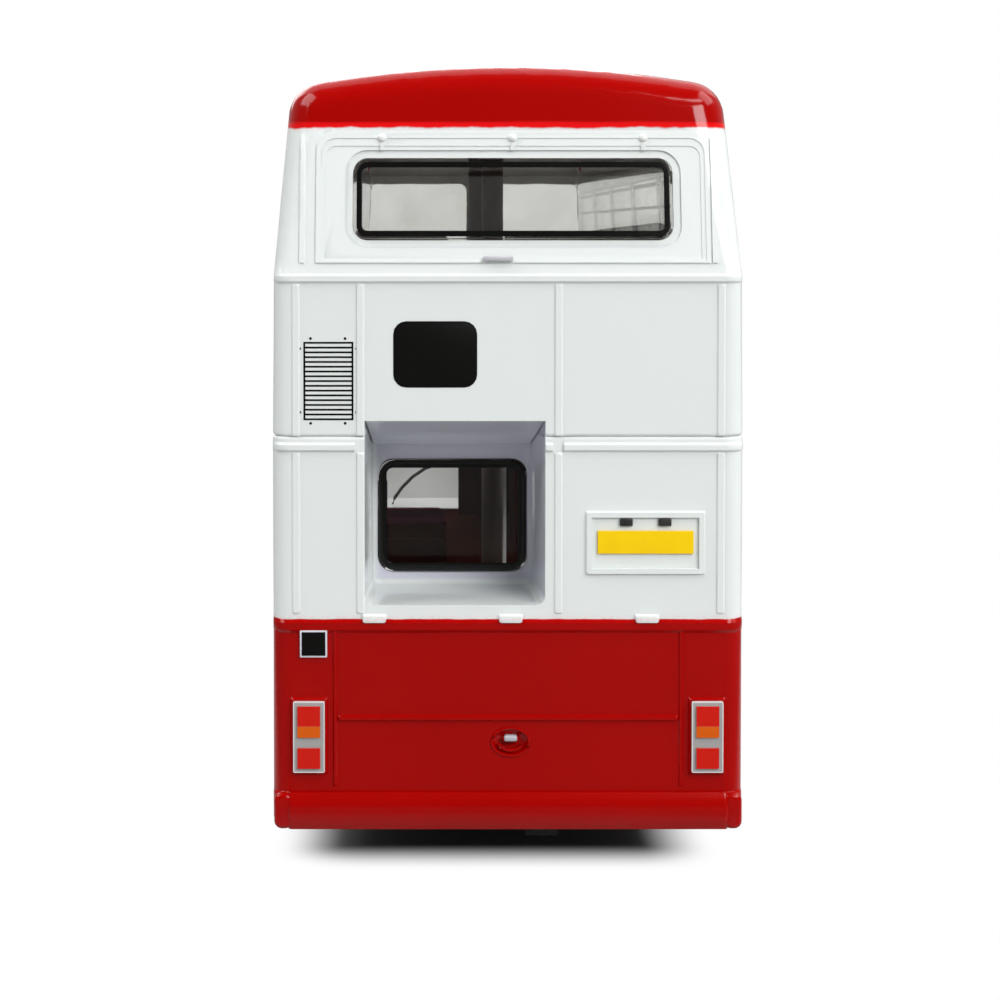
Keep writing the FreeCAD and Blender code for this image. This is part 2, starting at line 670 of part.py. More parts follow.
def recess_lip():
    """The sloping ceiling of the recess, which hangs from the upper casting."""
    (y0, l0, r0, _, t0), (y1, l1, r1, _, t1) = recess_rows(FIT)
    wall, back = size("recess_wall"), y1 - FIT
    return recess_corners(wedge([(y0, l0, r0, t0, t0 + wall), (back, l1, r1, t1, t1 + wall)]), back)


def arched(x0, x1, z0, z1, r, y0, y1):
    """An upright panel with round upper corners."""
    return end_slot(x0, x1, z0, z1, r, y0, y1).fuse(box(x0, x1, y0, y1, z0, z0 + r))


def exit_panel():
    """The stepped rim of the emergency door panel, its hinges and the beads beside it."""
    out, rim, head = size("strip_out"), size("exit_panel_rim"), size("exit_panel_head")
    middle, wide = size("rear_window_shift") - TRIM, HALF - size("exit_panel_side")
    low, high = WAIST + size("exit_panel_rise"), CANT - size("exit_panel_drop")
    deep = REAR + size("rear_rake") + WALL

    def block(step):
        corner = size("exit_panel_corner") - step * rim
        return arched(middle - wide + step * rim, middle + wide - step * rim, low + step * rim / 2,
                      high - step * head, corner, REAR - 1, deep)

    root = upper_form(-size("pad_root"))
    bead = HALF - size("corner_bead_side")
    beads = [box(x, x + size("corner_bead"), REAR - 1, deep, low, high - head)
             for x in (-bead, bead - size("corner_bead"))]
    parts = []
    for share, blocks in ((1.0, [block(0).cut(block(1))] + beads), (0.5, [block(1).cut(block(2))])):
        skin = upper_form(out * share).cut(root)
        parts += skin.common(Part.makeCompound(blocks)).Solids
    knob, half = high - head, size("hinge_strap / 2")
    y = REAR + upper_lean(knob)[1]
    straps = []
    for n in (-1, 0, 1):
        x = middle + n * size("hinge_pitch")
        parts.append(Part.makeSphere(size("hinge_radius"), Vector(x, y, knob)))
        straps.append(box(x - half, x + half, REAR - 1, deep, knob - size("hinge_long"), knob))
    skin = upper_form(out).cut(root)
    return parts + skin.common(Part.makeCompound(straps)).Solids


def window_dish():
    """The shallow dish that is pressed round the upper rear window."""
    deep = REAR + size("rear_rake") + WALL
    return rear_window_slot(-size("dish_wide"), deep).cut(upper_form(-size("dish_deep")))


def strip_places():
    """Left edge of each panel joint strip on the rear: at the recess and near the corners."""
    (_, left, right, _, _), _ = recess_rows()
    strip, side = size("strip_width"), HALF - size("strip_side")
    return [left - strip, right + strip, -side, side - strip]


def upper_body():
    """The upper casting: sides, ends and roof, open underneath."""
    shell = seam_rounded(upper_form()).cut(upper_form(-WALL, SEAM - 1))
    low, high = SEAM + TRIM, WAIST - size("moulding_tall / 2")
    parts = [shell, recess_lip()] + exit_panel()
    for x in strip_places():
        parts.append(rear_pad(x, x + size("strip_width"), low, high, size("strip_out")))
    (_, left, right, _, top), _ = recess_rows()
    mouth = box(left, right, REAR - 1, REAR + WALL + 0.1, SEAM - 0.5, top).cut(recess_lip())
    depth, corner = size("display_depth"), size("display_corner")
    low, high, wide = SEAM + size("display_rise"), WAIST - size("display_drop"), HALF - size("display_side")
    face = FRONT - upper_lean(high)[2] - depth
    front_box = end_slot(-wide, wide, low, high, corner, face, FRONT + 1)
    middle, half = sum(front_door_span()) / 2, size("side_display_width / 2")
    low = SEAM + size("side_display_rise")
    side_box_cut = side_slot(middle - half, middle + half, low, low + size("side_display_tall"), corner / 2,
                             -HALF - 1, depth - HALF)
    return cut(fuse(parts), upper_slots() + [window_dish(), mouth, front_box, side_box_cut])


def bumper(end):
    """A bumper with a round nose and round ends; end is -1 at the rear and 1 at the front."""
    half = HALF - size("bumper_end")
    low, high = size("skirt_height"), BUMPER
    face = REAR if end < 0 else FRONT
    root, nose = face - end * size("bumper_root"), face + end * size("bumper_out")
    lap = face + end * size("bumper_lap")
    profile = Part.Wire([
        Part.makePolygon([Vector(-half, lap, low), Vector(-half, root, low), Vector(-half, root, high),
                          Vector(-half, lap, high)]),
        Part.Arc(Vector(-half, lap, high), Vector(-half, nose, (high + low) / 2),
                 Vector(-half, lap, low)).toShape(),
    ])
    bar = Part.Face(profile).extrude(Vector(2 * half, 0, 0))
    ends = [edge for edge in bar.Edges
            if edge.BoundBox.XLength < TRIM and edge.Curve.TypeId == "Part::GeomCircle"]
    return bar.makeFillet(size("bumper_round"), ends)


def engine_cover():
    """Raised edges, bead and tabs of the engine cover."""
    edge, out, rim = HALF - size("bonnet_side"), size("strip_out"), size("bonnet_edge")
    low, bead, half = BUMPER + rim, BUMPER + size("bead_rise"), size("bead_tall / 2")
    parts = [rear_pad(rim - edge, edge - rim, bead - half, bead + half, out * 1.5)]
    for x in (-edge, edge - rim):
        parts.append(rear_pad(x, x + rim, low, PAINT - rim, out))
    wide = size("tab_width / 2")
    for n in (-1, 0, 1):
        x = size("rear_window_shift / 2") + n * size("tab_pitch")
        parts.append(rear_pad(x - wide, x + wide, PAINT - half, PAINT + 2 * half, size("tab_out")))
    return parts


def rear_lamp_span(side):
    """Left, right, bottom and top of one rear lamp."""
    outer = HALF - size("lamp_side")
    x0, x1 = sorted((side * outer, side * (outer - size("lamp_width"))))
    low = BUMPER + size("lamp_rise")
    return x0, x1, low, low + size("lamp_tall")


def rear_fittings():
    """Raised seats of the rear lamps and the frame round the number plate."""
    rim, out = size("lamp_rim"), size("lamp_out")
    parts = []
    for side in (-1, 1):
        x0, x1, z0, z1 = rear_lamp_span(side)
        parts.append(rear_pad(x0 - rim, x1 + rim, z0 - rim, z1 + rim, out))
    x1 = HALF - size("plate_side - plate_panel_side")
    x0 = x1 - size("plate_width + 2 * plate_panel_side")
    z0 = PAINT + size("plate_rise - plate_panel_low")
    z1 = z0 + size("plate_panel_tall")
    s = size("plate_panel_rim")
    hollow = box(x0 + s, x1 - s, REAR - 1, REAR, z0 + s, z1 - s)
    parts.append(rear_pad(x0, x1, z0, z1, out).cut(hollow))
    return parts


def recess_pocket():
    """The cheeks, sill and back wall of the recess, and the space inside them."""
    wall, deep = size("recess_wall"), size("recess_depth")
    (y0, l0, r0, b0, _), (y1, l1, r1, b1, _) = recess_rows()
    pocket = wedge([(y0 + wall / 2, l0 - wall, r0 + wall, b0 - wall, SEAM),
                    (y1 + wall, l1 - wall, r1 + wall, b1 - wall, SEAM)])
    high = SEAM + 2.0
    void = recess_corners(wedge([(y0, l0, r0, b0, high), (y1, l1, r1, b1, high)]), y1, b0).fuse(
        box(l0, r0, REAR - 1, REAR, b0 + size("recess_round"), high))
    pane = back_window_slot(0.0, REAR + deep - 1.0, REAR + deep + wall + 1.0)
    return pocket, [void, pane]


def arch_cuts(reach):
    """Wheel arches, reach deep from each side."""
    z = size("tyre_radius")
    cuts = []
    for y in (FRONT_AXLE, REAR_AXLE):
        for side in (-1, 1):
            start, end = Vector(side * (HALF + 1), y, z), Vector(side * (HALF - reach), y, z)
            cuts.append(rod(size("arch_radius"), start, end))
            cuts.append(side_box(side, HALF - reach, HALF + 1, y - size("arch_radius"),
                                 y + size("arch_radius"), 0, z))
    return cuts


def catch_centre():
    """Middle of the bonnet catch dish, on the face of the engine cover."""
    return Vector(size("rear_window_shift / 2"), REAR, BUMPER + size("bead_rise - catch_drop"))


def catch_hollow():
    """The oval hollow of the dish, from two balls and the drum between them."""
    radius, wide = size("catch_dish"), Vector(size("catch_wide"), 0, 0)
    middle = catch_centre() - Vector(0, radius - size("catch_depth"), 0)
    balls = [Part.makeSphere(radius, middle - wide), Part.makeSphere(radius, middle + wide)]
    return fuse(balls + [rod(radius, middle - wide, middle + wide)])


def lower_body():
    """The lower casting: skirt, sides and ends, open above and below."""
    inner = lower_form(-WALL, size("skirt_height") - 1, SEAM + 1, plain=True)
    shell = seam_rounded(lower_form()).cut(inner)
    pocket, cuts = recess_pocket()
    strip = size("strip_width")
    for x in strip_places()[:2]:
        shell = shell.cut(box(x - FIT, x + strip + FIT, REAR - 1, REAR, SEAM - size("lip_drop") * 2, SEAM))
    parts = [shell, pocket, bumper(-1), bumper(1)] + engine_cover() + rear_fittings()
    high = SEAM - size("lip_drop + moulding_tall / 2")
    for x in strip_places():
        parts.append(rear_pad(x, x + size("strip_width"), PAINT + size("bead_tall"), high, size("strip_out")))
    reach = WALL * 1.8
    cuts += lower_slots() + arch_cuts(reach)
    for y0, y1 in (front_door_span(), exit_door_span()):
        cuts.append(box(-HALF - 1, reach - HALF, y0, y1, size("door_bottom"), size(DOOR_TOP)))
    cuts.append(catch_hollow())
    return cut(fuse(parts), cuts)


# ---------------------------------------------------------------- clear mouldings and their rubbers


def upper_glazing():
    """Clear band behind the upper windows, with a pane standing into each opening."""
    grow = -WALL - FIT
    low, high = WAIST + size("upper_sill_rise - glass_lap"), CANT
    band = upper_form(grow).cut(upper_form(grow - GLASS)).common(
        box(-HALF, HALF, REAR - 2, FRONT + 2, low, high))
    skin = upper_form(size("glass_proud")).cut(upper_form(grow - GLASS / 2))
    panes = skin.common(Part.makeCompound(upper_slots(FIT)))
    return fuse([band] + panes.Solids)


def lower_glazing():
    """Clear band behind the lower windows, the windscreen, the door panes and the rear pane."""
    x, r = INSIDE, size("corner_radius - casting_wall")
    y0, y1 = engine_wall() + FIT, FRONT - WALL - FIT
    z0 = PAINT
    z1 = SEAM + size("upper_floor_rise - upper_floor_thick")
    band = slab(x, y0, y1, r, z0, z1).cut(box(GLASS - x, x - GLASS, y0 + GLASS, y1 - GLASS, z0 - 1, z1 + 1))
    screen = box(1 - x, x - 1, y1 - GLASS, y1, SILL - 1, z0 + 1)
    core = box(GLASS / 2 - x, x - GLASS / 2, REAR - 1, y1 - GLASS / 2, 0, SEAM + 1)
    skin = lower_form(size("glass_proud"), plain=True).cut(core)
    panes = skin.common(Part.makeCompound(lower_slots(FIT)))
    back = back_window_slot(FIT, REAR + size("recess_depth - glass_proud"), y0 + GLASS / 2)
    pieces = [band, screen, back] + panes.Solids
    for d0, d1 in (front_door_span(), exit_door_span()):
        lap = size("door_glass_lap")
        pieces.append(box(-x, GLASS - x, d0 + lap, d1 - lap, size("floor_top") + FIT, z0 + 1))
    return fuse(pieces)


def rings(slots, proud, out, form):
    """Rubbers that stand on the panes; slots(inset) gives the openings."""
    edge = size("seal_edge") + FIT
    skin = form(proud + out).cut(form(proud))
    solids = []
    for outer, inner in zip(slots(edge), slots(edge + size("seal_width"))):
        solids += skin.common(outer.cut(inner)).Solids
    return solids


def upper_window_seals():
    """Rubbers of the upper side windows and of the emergency window."""

    def slots(inset):
        return upper_slots(inset, front=False)

    return Part.makeCompound(rings(slots, size("glass_proud"), size("seal_out"), upper_form))


def lower_window_seals():
    """Rubbers of the lower windows and of the rear window in the recess."""

    def form(grow):
        return lower_form(grow, plain=True)

    solids = rings(lower_slots, size("glass_proud"), size("seal_out"), form)
    edge, face = size("seal_edge") + FIT, REAR + size("recess_depth - glass_proud")
    ring = back_window_slot(edge, face - size("seal_out"), face).cut(
        back_window_slot(edge + size("seal_width"), face - 1, face + 1))
    return Part.makeCompound(solids + ring.Solids)


# ---------------------------------------------------------------- saloons and chassis


def seat(x0, x1, y, floor, rise, back):
    """A double seat that faces forward: cushion on a plinth, and a back."""
    deep, top, lip = size("seat_deep"), floor + rise, size("seat_plinth")
    cushion = size("seat_cushion")
    return [
        box(x0, x1, y, y + deep, top - cushion, top),
        box(x0 + lip, x1 - lip, y + lip, y + deep - lip, floor - 0.1, top - cushion / 2),
        end_slot(x0, x1, top - cushion, floor + back, size("seat_corner"), y,
                 y + size("seat_back_thick")),
    ]


def seat_pair(y, floor, edge, sides, rise, back):
    """Double seats at one place, on one side or both, out to the edge."""
    parts = []
    for side in sides:
        x0, x1 = sorted((side * edge, side * (edge - size("seat_wide"))))
        parts += seat(x0, x1, y, floor, rise, back)
    return parts


def stair_span():
    """Rear and front end of the staircase, beside the front axle."""
    rear = FRONT_AXLE - WHEEL_REACH - size("stair_behind")
    return rear, FRONT_AXLE + WHEEL_REACH + size("stair_ahead")


def upper_saloon():
    """Upper deck floor, seats and the panel round the stair head."""
    top = SEAM + size("upper_floor_rise")
    lean_side, _, lean_front = upper_lean(top)
    y0, y1 = engine_wall() + FIT * 3, FRONT - WALL - FIT * 3 - lean_front
    wall = size("box_wall")
    parts = [slab(INSIDE - lean_side, y0, y1, size("floor_corner"), top - size("upper_floor_thick"), top)]
    stair_rear, stair_front = stair_span()
    edge = LINING - upper_lean(top + size("seat_back"))[0]
    pitch, first = size("seat_pitch"), engine_wall() + size("first_seat")
    count = int((y1 - first - size("seat_deep")) // pitch) + 1
    for n in range(count):
        y = first + n * pitch
        over_stair = stair_rear - size("seat_deep") < y < stair_front
        sides = (-1,) if over_stair else (-1, 1)
        parts += seat_pair(y, top, edge, sides, size("seat_rise"), size("seat_back"))
    inner = edge - size("seat_wide")
    for x0, x1, a, b in (
        (inner, inner + wall, stair_rear, stair_front),
        (inner, edge, stair_rear, stair_rear + wall),
    ):
        parts.append(box(x0, x1, a, b, top - 0.1, top + size("seat_back")))
    holes = [post(size("post_radius") + FIT, 0, y, top - 3, top + 3) for y in POSTS]
    well_front = stair_rear + wall + size("stair_well")
    well = box(inner + wall, edge, stair_rear + wall, well_front, top - 3, top + 1)
    return cut(fuse(parts), holes + [well])


def tyre_inner(twin):
    """Inner face of the innermost tyre, from the middle."""
    one = size(TYRE_OUTER + " - tyre_width")
    return one - size("tyre_width + twin_gap") if twin else one


def rear_bench(y_glass, low):
    """The rearmost seat on its platform, under the lower rear window."""
    window = PAINT + size("recess_sill + back_window_rise")
    platform, bench = window - size("platform_drop"), window - size("bench_drop")
    wall, edge = size("box_wall"), REAR_AXLE - WHEEL_REACH
    return [
        box(-LINING, LINING, y_glass, edge, platform - wall, platform),
        box(-LINING, LINING, edge - wall, edge, low, platform),
        box(-LINING, LINING, y_glass, y_glass + size("bench_thick"), platform - wall, bench),
    ]


def staircase(top, low):
    """Stairs on the right that rise towards the rear, with their panel and the cab bulkhead."""
    rear, front = stair_span()
    wall, rise = size("box_wall"), size("stair_rise")
    ceiling = SEAM + size("upper_floor_rise - upper_floor_thick") - FIT
    left = LINING - size("seat_wide")
    steps = int((ceiling - top) // rise)
    going = (front - wall - rear) / steps
    parts = [
        box(left, left + wall, rear, front, low, ceiling),
        box(-size("bulkhead_reach"), LINING, front - wall, front, low, ceiling),
    ]
    for n in range(steps):
        nose, tread = front - wall - n * going, top + rise * (n + 1)
        parts.append(box(left, LINING, nose - going, nose, tread - wall, tread))
        parts.append(box(left, LINING, nose - wall, nose, tread - rise - wall, tread))
    return parts


def cab(y_glass, top, low):
    """The driver's seat and the dashboard."""
    middle, half = HALF - size("driver_side"), size("driver_wide / 2")
    y = stair_span()[1] + size("driver_behind")
    return [
        box(middle - half, middle + half, y, y + size("driver_wide"), low, top + size("driver_rise")),
        box(middle - half, middle + half, y, y + size("seat_back_thick"), low, top + size("driver_back")),
        box(size("dash_left"), LINING, y_glass - size("dash_deep"), y_glass, low, SILL + size("dash_rise")),
    ]


def lower_saloon():
    """Lower deck floor with wheel boxes, seats, staircase and cab."""
    top, wall = size("floor_top"), size("box_wall")
    gap, low = size("wheel_gap"), size("floor_top - floor_thick")
    y0, y1 = engine_wall() + FIT, FRONT - WALL - FIT
    parts = [slab(INSIDE, y0, y1, size("floor_corner"), low, top)]
    high = size("tyre_radius * 2") + gap + wall
    wells = []
    for y, twin in ((FRONT_AXLE, False), (REAR_AXLE, True)):
        near = tyre_inner(twin) - gap
        for side in (-1, 1):
            reach = WHEEL_REACH + wall
            parts.append(side_box(side, near - wall, INSIDE, y - reach, y + reach, low, high))
            wells.append(side_box(side, near, INSIDE + 1, y - WHEEL_REACH, y + WHEEL_REACH, 0, high - wall))
    parts += rear_bench(y0 + GLASS + FIT, low)
    edge = exit_door_span()[0] - size("seat_pitch")
    for n in range(int(size("lower_rows"))):
        y = REAR_AXLE + WHEEL_REACH + size("wheel_seat") + n * size("seat_pitch")
        sides = (-1, 1) if y < edge else (1,)
        parts += seat_pair(y, top, LINING, sides, size("low_seat_rise"), size("low_seat_back"))
    parts += staircase(top, low) + cab(y1 - GLASS - FIT, top, low)
    holes = [post(size("post_radius") + FIT, 0, y, 0, SEAM) for y in POSTS]
    return cut(fuse(parts), wells + holes)


def chassis():
    """Black base plate with bearing blocks, engine and gearbox relief, and plinth sockets."""
    low, high = size("base_bottom"), size(BASE_TOP)
    under = size("floor_top - floor_thick")
    y0, y1 = REAR + WALL + FIT, FRONT - WALL - FIT
    gap, long = size("wheel_gap"), size("bearing_long / 2")
    parts = [slab(INSIDE, y0, y1, size("floor_corner"), low, high)]
    cuts = []
    z = size("tyre_radius")
    for y, twin in ((FRONT_AXLE, False), (REAR_AXLE, True)):
        near = tyre_inner(twin) - gap
        block = near - gap
        parts.append(box(-block, block, y - long, y + long, low, under))
        cuts.append(rod(size("axle_radius + axle_gap"), Vector(-HALF, y, z), Vector(HALF, y, z)))
        for side in (-1, 1):
            cuts.append(side_box(side, near, HALF, y - WHEEL_REACH, y + WHEEL_REACH, 0, under + 1))
    # sockets for the display plinth and holes for the assembly screws, on the middle line
    depth, bore, wall = size("plinth_depth"), size("plinth_bore"), size("plinth_wall")
    for y in (REAR_AXLE - size("rear_socket"), FRONT_AXLE + size("front_socket")):
        parts.append(post(bore + wall, 0, y, low, low + depth + wall))
        cuts.append(post(bore, 0, y, 0, low + depth))
    for y in POSTS:
        cuts.append(post(size("screw_radius") + FIT, 0, y, 0, high + 1))
        cuts.append(post(size("screw_head") + FIT, 0, y, 0, low + size("screw_head_tall") + TRIM))
    return cut(fuse(parts + under_relief(low, high)), cuts)


def under_relief(low, high):
    """Engine sump, gearbox, silencer, fuel tank and battery box, cast on the under side of the chassis."""
    start = REAR + WALL + size("sump_start")
    end, deep = start + size("sump_long"), size("tank_deep")
    half, narrow = size("sump_wide / 2"), size("gearbox_wide / 2")
    r = size("silencer_radius")
    pipe = Vector(half - r, (start + end) / 2, low - r / 2)
    tank_x, tank_y = INSIDE - size("tank_side"), FRONT_AXLE - size("tank_behind")
    wide, long = size("tank_wide"), size("tank_long / 2")
    drain, square = size("drain_side"), size("drain_wide")
    return [
        box(-half, half, start, end, low - size("sump_deep"), high),
        box(drain, drain + square, start, start + square, low - size("drain_deep"), high),
        box(-narrow, narrow, end, end + size("gearbox_long"), low - deep, high),
        rod(r, pipe, pipe + Vector(size("silencer_long"), 0, 0)),
        box(tank_x - wide, tank_x, tank_y - long, tank_y + long, low - deep, high),
        box(-tank_x, wide - tank_x, tank_y - long / 2, tank_y + long / 2, low - deep, high),
    ]


# ---------------------------------------------------------------- lamps, displays and small trim


def rear_lamp(side):
    """One rear lamp cluster: a housing with red, orange and red lenses from the top down."""
    x0, x1, low, high = rear_lamp_span(side)
    face = REAR - size("lamp_out") - TRIM
    thick, lens, inset = size("lamp_thick"), size("lens_thick"), size("lens_inset")
    corner = inset / 3
    parts = [end_slot(x0, x1, low, high, corner, face - thick, face)]
    unit = (high - low - 2 * inset) / sum(share for share, _ in LENS_STACK)
    z = high - inset
    for share, lit in LENS_STACK:
        if lit:
            parts.append(end_slot(x0 + inset, x1 - inset, z - share * unit, z, corner,
                                  face - thick - lens, face - thick / 2))
        z -= share * unit
    return fuse(parts)


def headlamp_places():
    """Middle of each headlamp across the front, inner and outer on each side."""
    outer = HALF - size("headlamp_side")
    return [side * x for side in (-1, 1) for x in (outer - size("headlamp_pitch"), outer)]


def headlamps():
    """Four round headlamps, in pairs, each a low drum with its glass."""
    z, r, y = BUMPER + size("headlamp_rise"), size("headlamp_radius"), FRONT + TRIM
    thick, lens = size("lamp_thick"), size("lens_thick")
    solids = []
    for x in headlamp_places():
        drum = rod(r, Vector(x, y, z), Vector(x, y + thick, z))
        glass = rod(r * 0.8, Vector(x, y, z), Vector(x, y + thick + lens, z))
        solids.append(fuse([drum, glass]))
    return Part.makeCompound(solids)


def front_indicators():
    """Two orange lamps over the outer headlamps."""
    z, y = SILL - size("indicator_drop"), FRONT + TRIM
    wide, tall = size("indicator_wide / 2"), size("indicator_tall / 2")
    solids = []
    for x in (headlamp_places()[1], headlamp_places()[3]):
        solids.append(end_slot(x - wide, x + wide, z - tall, z + tall, tall / 2, y, y + size("lamp_thick")))
    return Part.makeCompound(solids)


def plate_lamps():
    """Two small lamps over the rear number plate."""
    z = PAINT + size("plate_rise + plate_tall + plate_lamp_rise")
    middle = HALF - size("plate_side + plate_width / 2")
    half, pitch = size("plate_lamp_wide / 2"), size("plate_lamp_pitch / 2")
    solids = []
    for x in (middle - pitch, middle + pitch):
        y = REAR - TRIM
        solids.append(box(x - half, x + half, y - size("lamp_thick"), y, z, z + size("plate_lamp_tall")))
    return Part.makeCompound(solids)


def front_display():
    """Blank black destination glass between the decks."""
    low, high = SEAM + size("display_rise"), WAIST - size("display_drop")
    wide = HALF - size("display_side") - FIT
    face = FRONT - upper_lean(high)[2] - size("display_depth") + TRIM
    return end_slot(-wide, wide, low + FIT, high - FIT, size("display_corner") - FIT, face,
                    face + size("display_thick"))


def side_display():
    """Blank black destination glass over the front door."""
    middle, half = sum(front_door_span()) / 2, size("side_display_width / 2") - FIT
    low = SEAM + size("side_display_rise")
    high = low + size("side_display_tall")
    x = size("display_depth") - HALF - TRIM
    return side_slot(middle - half, middle + half, low + FIT, high - FIT, size("display_corner / 2") - FIT,
                     x - size("display_thick"), x)


def mirror(side):
    """A mirror on its arm, beside the windscreen."""
    z, out, tall = SEAM - size("mirror_drop"), size("mirror_out"), size("mirror_tall / 2")
    y, arm, thick = FRONT - size("mirror_behind"), size("mirror_arm"), size("mirror_thick / 2")
    x0, x1 = sorted((side * (HALF + out - size("mirror_wide")), side * (HALF + out)))
    top = z + tall - arm
    return fuse([
        side_box(side, HALF + TRIM, HALF + out - arm, y - arm / 2, y + arm / 2, top - arm, top),
        end_slot(x0, x1, z - tall, z + tall, arm, y - thick, y + thick),
    ])


def wipers():
    """Two wipers, each an arm and a blade, lying on the windscreen."""
    y, thick = FRONT + size("glass_proud + seal_out") + TRIM, size("wiper_thick")
    arm, blade, foot = size("wiper_arm"), size("wiper_blade"), SILL - size("wiper_foot")
    solids = []
    for side in (-1, 1):
        wiper = fuse([
            box(-thick / 2, thick / 2, y, y + thick, 0, arm),
            box(-thick, thick, y, y + thick, arm - blade / 2, arm + blade / 2),
            rod(thick * 2, Vector(0, y, 0), Vector(0, y + thick, 0)),
        ])
        wiper.rotate(Vector(0, 0, 0), Vector(0, 1, 0), 62)
        wiper.translate(Vector(side * size("wiper_pivot") - thick * 2, 0, foot))
        solids.append(wiper)
    return Part.makeCompound(solids)


def bonnet_catch():
    """The small handle across the dish of the engine cover."""
    half, long = size("catch_bar / 2"), Vector(size("catch_long / 2"), 0, 0)
    radius, top = size("catch_dish"), size("catch_lift") + half
    grip = catch_centre() + Vector(0, 0, size("catch_lift"))
    sink = math.sqrt(radius ** 2 - top ** 2) - radius + size("catch_depth")
    foot = grip + Vector(0, sink - TRIM, 0)
    return fuse([rod(half, foot, grip), rod(half, grip - long, grip + long)])


def rear_door_handle():
    """Grey handle at the foot of the emergency door panel."""
    z = WAIST + size("exit_panel_rise + exit_panel_rim")
    half, tall = size("handle_width / 2"), size("handle_tall")
    middle = size("rear_window_shift") - half
    y = REAR + upper_lean(z - tall / 2)[1] - size("strip_out") - TRIM
    return box(middle - half, middle + half, y - size("handle_thick"), y, z - tall / 2, z + tall / 2)


# ---------------------------------------------------------------- sub-parts made with features


def plane(body, role):
    """One of a body's own origin planes."""
    return next(item for item in body.Origin.OriginFeatures if item.Role == role)


def sketch(body, role, name, corners):
    """A closed outline on an origin plane; corners are pairs of expressions, bound to the sheet."""
    drawing = body.newObject("Sketcher::SketchObject", name)
    drawing.AttachmentSupport = [(plane(body, role), "")]
    drawing.MapMode = "FlatFace"
    points = [Vector(size(u), size(v), 0) for u, v in corners]
    count = len(points)
    for n in range(count):
        drawing.addGeometry(Part.LineSegment(points[n], points[(n + 1) % count]), False)
    for n in range(count):
        drawing.addConstraint(Constraint("Coincident", n, 2, (n + 1) % count, 1))
    for n, (u, v) in enumerate(corners):
        for kind, text, value in (("DistanceX", u, points[n].x), ("DistanceY", v, points[n].y)):
            index = drawing.addConstraint(Constraint(kind, -1, 1, n, 1, value))
            drawing.setExpression(f"Constraints[{index}]", bound(text))
    doc.recompute()
    return drawing


def place(item, x="0", y="0", z="0"):
    """Binds an object's place to the sheet."""
    for axis, text in (("x", x), ("y", y), ("z", z)):
        item.setExpression("Placement.Base." + axis, bound(text))


def turned(name, corners, y, z):
    """A body turned about an axis that runs across the bus; corners are (along the axis, radius)."""
    body = doc.addObject("PartDesign::Body", name)
    drawing = sketch(body, "XY_Plane", name + "_section", corners)
    spin = body.newObject("PartDesign::Revolution", name + "_turn")
    spin.Profile = drawing
    spin.ReferenceAxis = (drawing, ["H_Axis"])
    spin.Angle = 360
    body.Tip = spin
    place(body, y=y, z=z)
    return body


def mirrored(corners, side):
    """The section for one side of the bus; side is -1 or 1."""
    return [(u if side > 0 else f"-({u})", v) for u, v in corners]


def tyre(name, side, y, twin):
    """A tyre, or a pair with a groove between them, on one side."""
    inner = TYRE_OUTER + " - tyre_width"
    corners = [
        (TYRE_OUTER, "rim_radius"),
        (TYRE_OUTER, "tyre_radius - tyre_edge"),
        (TYRE_OUTER + " - tyre_edge", "tyre_radius"),
        (inner + " + tyre_edge", "tyre_radius"),
        (inner, "tyre_radius - tyre_edge"),
    ]
    if twin:
        second = inner + " - twin_gap"
        corners += [
            (inner, "tyre_radius - twin_groove"),
            (second, "tyre_radius - twin_groove"),
            (second, "tyre_radius - tyre_edge"),
            (second + " - tyre_edge", "tyre_radius"),
            (second + " - tyre_width + tyre_edge", "tyre_radius"),
            (second + " - tyre_width", "tyre_radius - tyre_edge"),
            (second + " - tyre_width", "rim_radius"),
        ]
    else:
        corners.append((inner, "rim_radius"))
    return turned(name, mirrored(corners, side), y, "tyre_radius")


def hub(name, side, y, twin):
    """A wheel centre inside its tyre: rim, disc and nave, pressed on the axle."""
    inner = TYRE_OUTER + (" - tyre_width * 2 - twin_gap" if twin else " - tyre_width")
    disc = TYRE_OUTER + (" - twin_dish" if twin else " - hub_dish")
    corners = [
        (disc + " - hub_disc", "axle_radius"),
        (disc + " + nave_out", "axle_radius"),
        (disc + " + nave_out", "nave_radius"),
        (disc, "nave_radius"),
        (disc, "rim_radius - rim_wall"),
        (TYRE_OUTER, "rim_radius - rim_wall"),
        (TYRE_OUTER, "rim_radius"),
        (inner, "rim_radius"),
        (inner, "rim_radius - rim_wall"),
        (disc + " - hub_disc", "rim_radius - rim_wall"),
    ]
    return turned(name, mirrored(corners, side), y, "tyre_radius")


def axle(name, y):
    """A steel axle that ends in the hubs."""
    end = TYRE_OUTER + " - twin_dish"
    bar = doc.addObject("Part::Cylinder", name)
    bar.setExpression("Radius", bound("axle_radius"))
    bar.setExpression("Height", bound(f"({end}) * 2"))
    bar.Placement = Placement(Vector(0, 0, 0), Rotation(Vector(0, 1, 0), 90))
    place(bar, f"-({end})", y, "tyre_radius")
    return bar


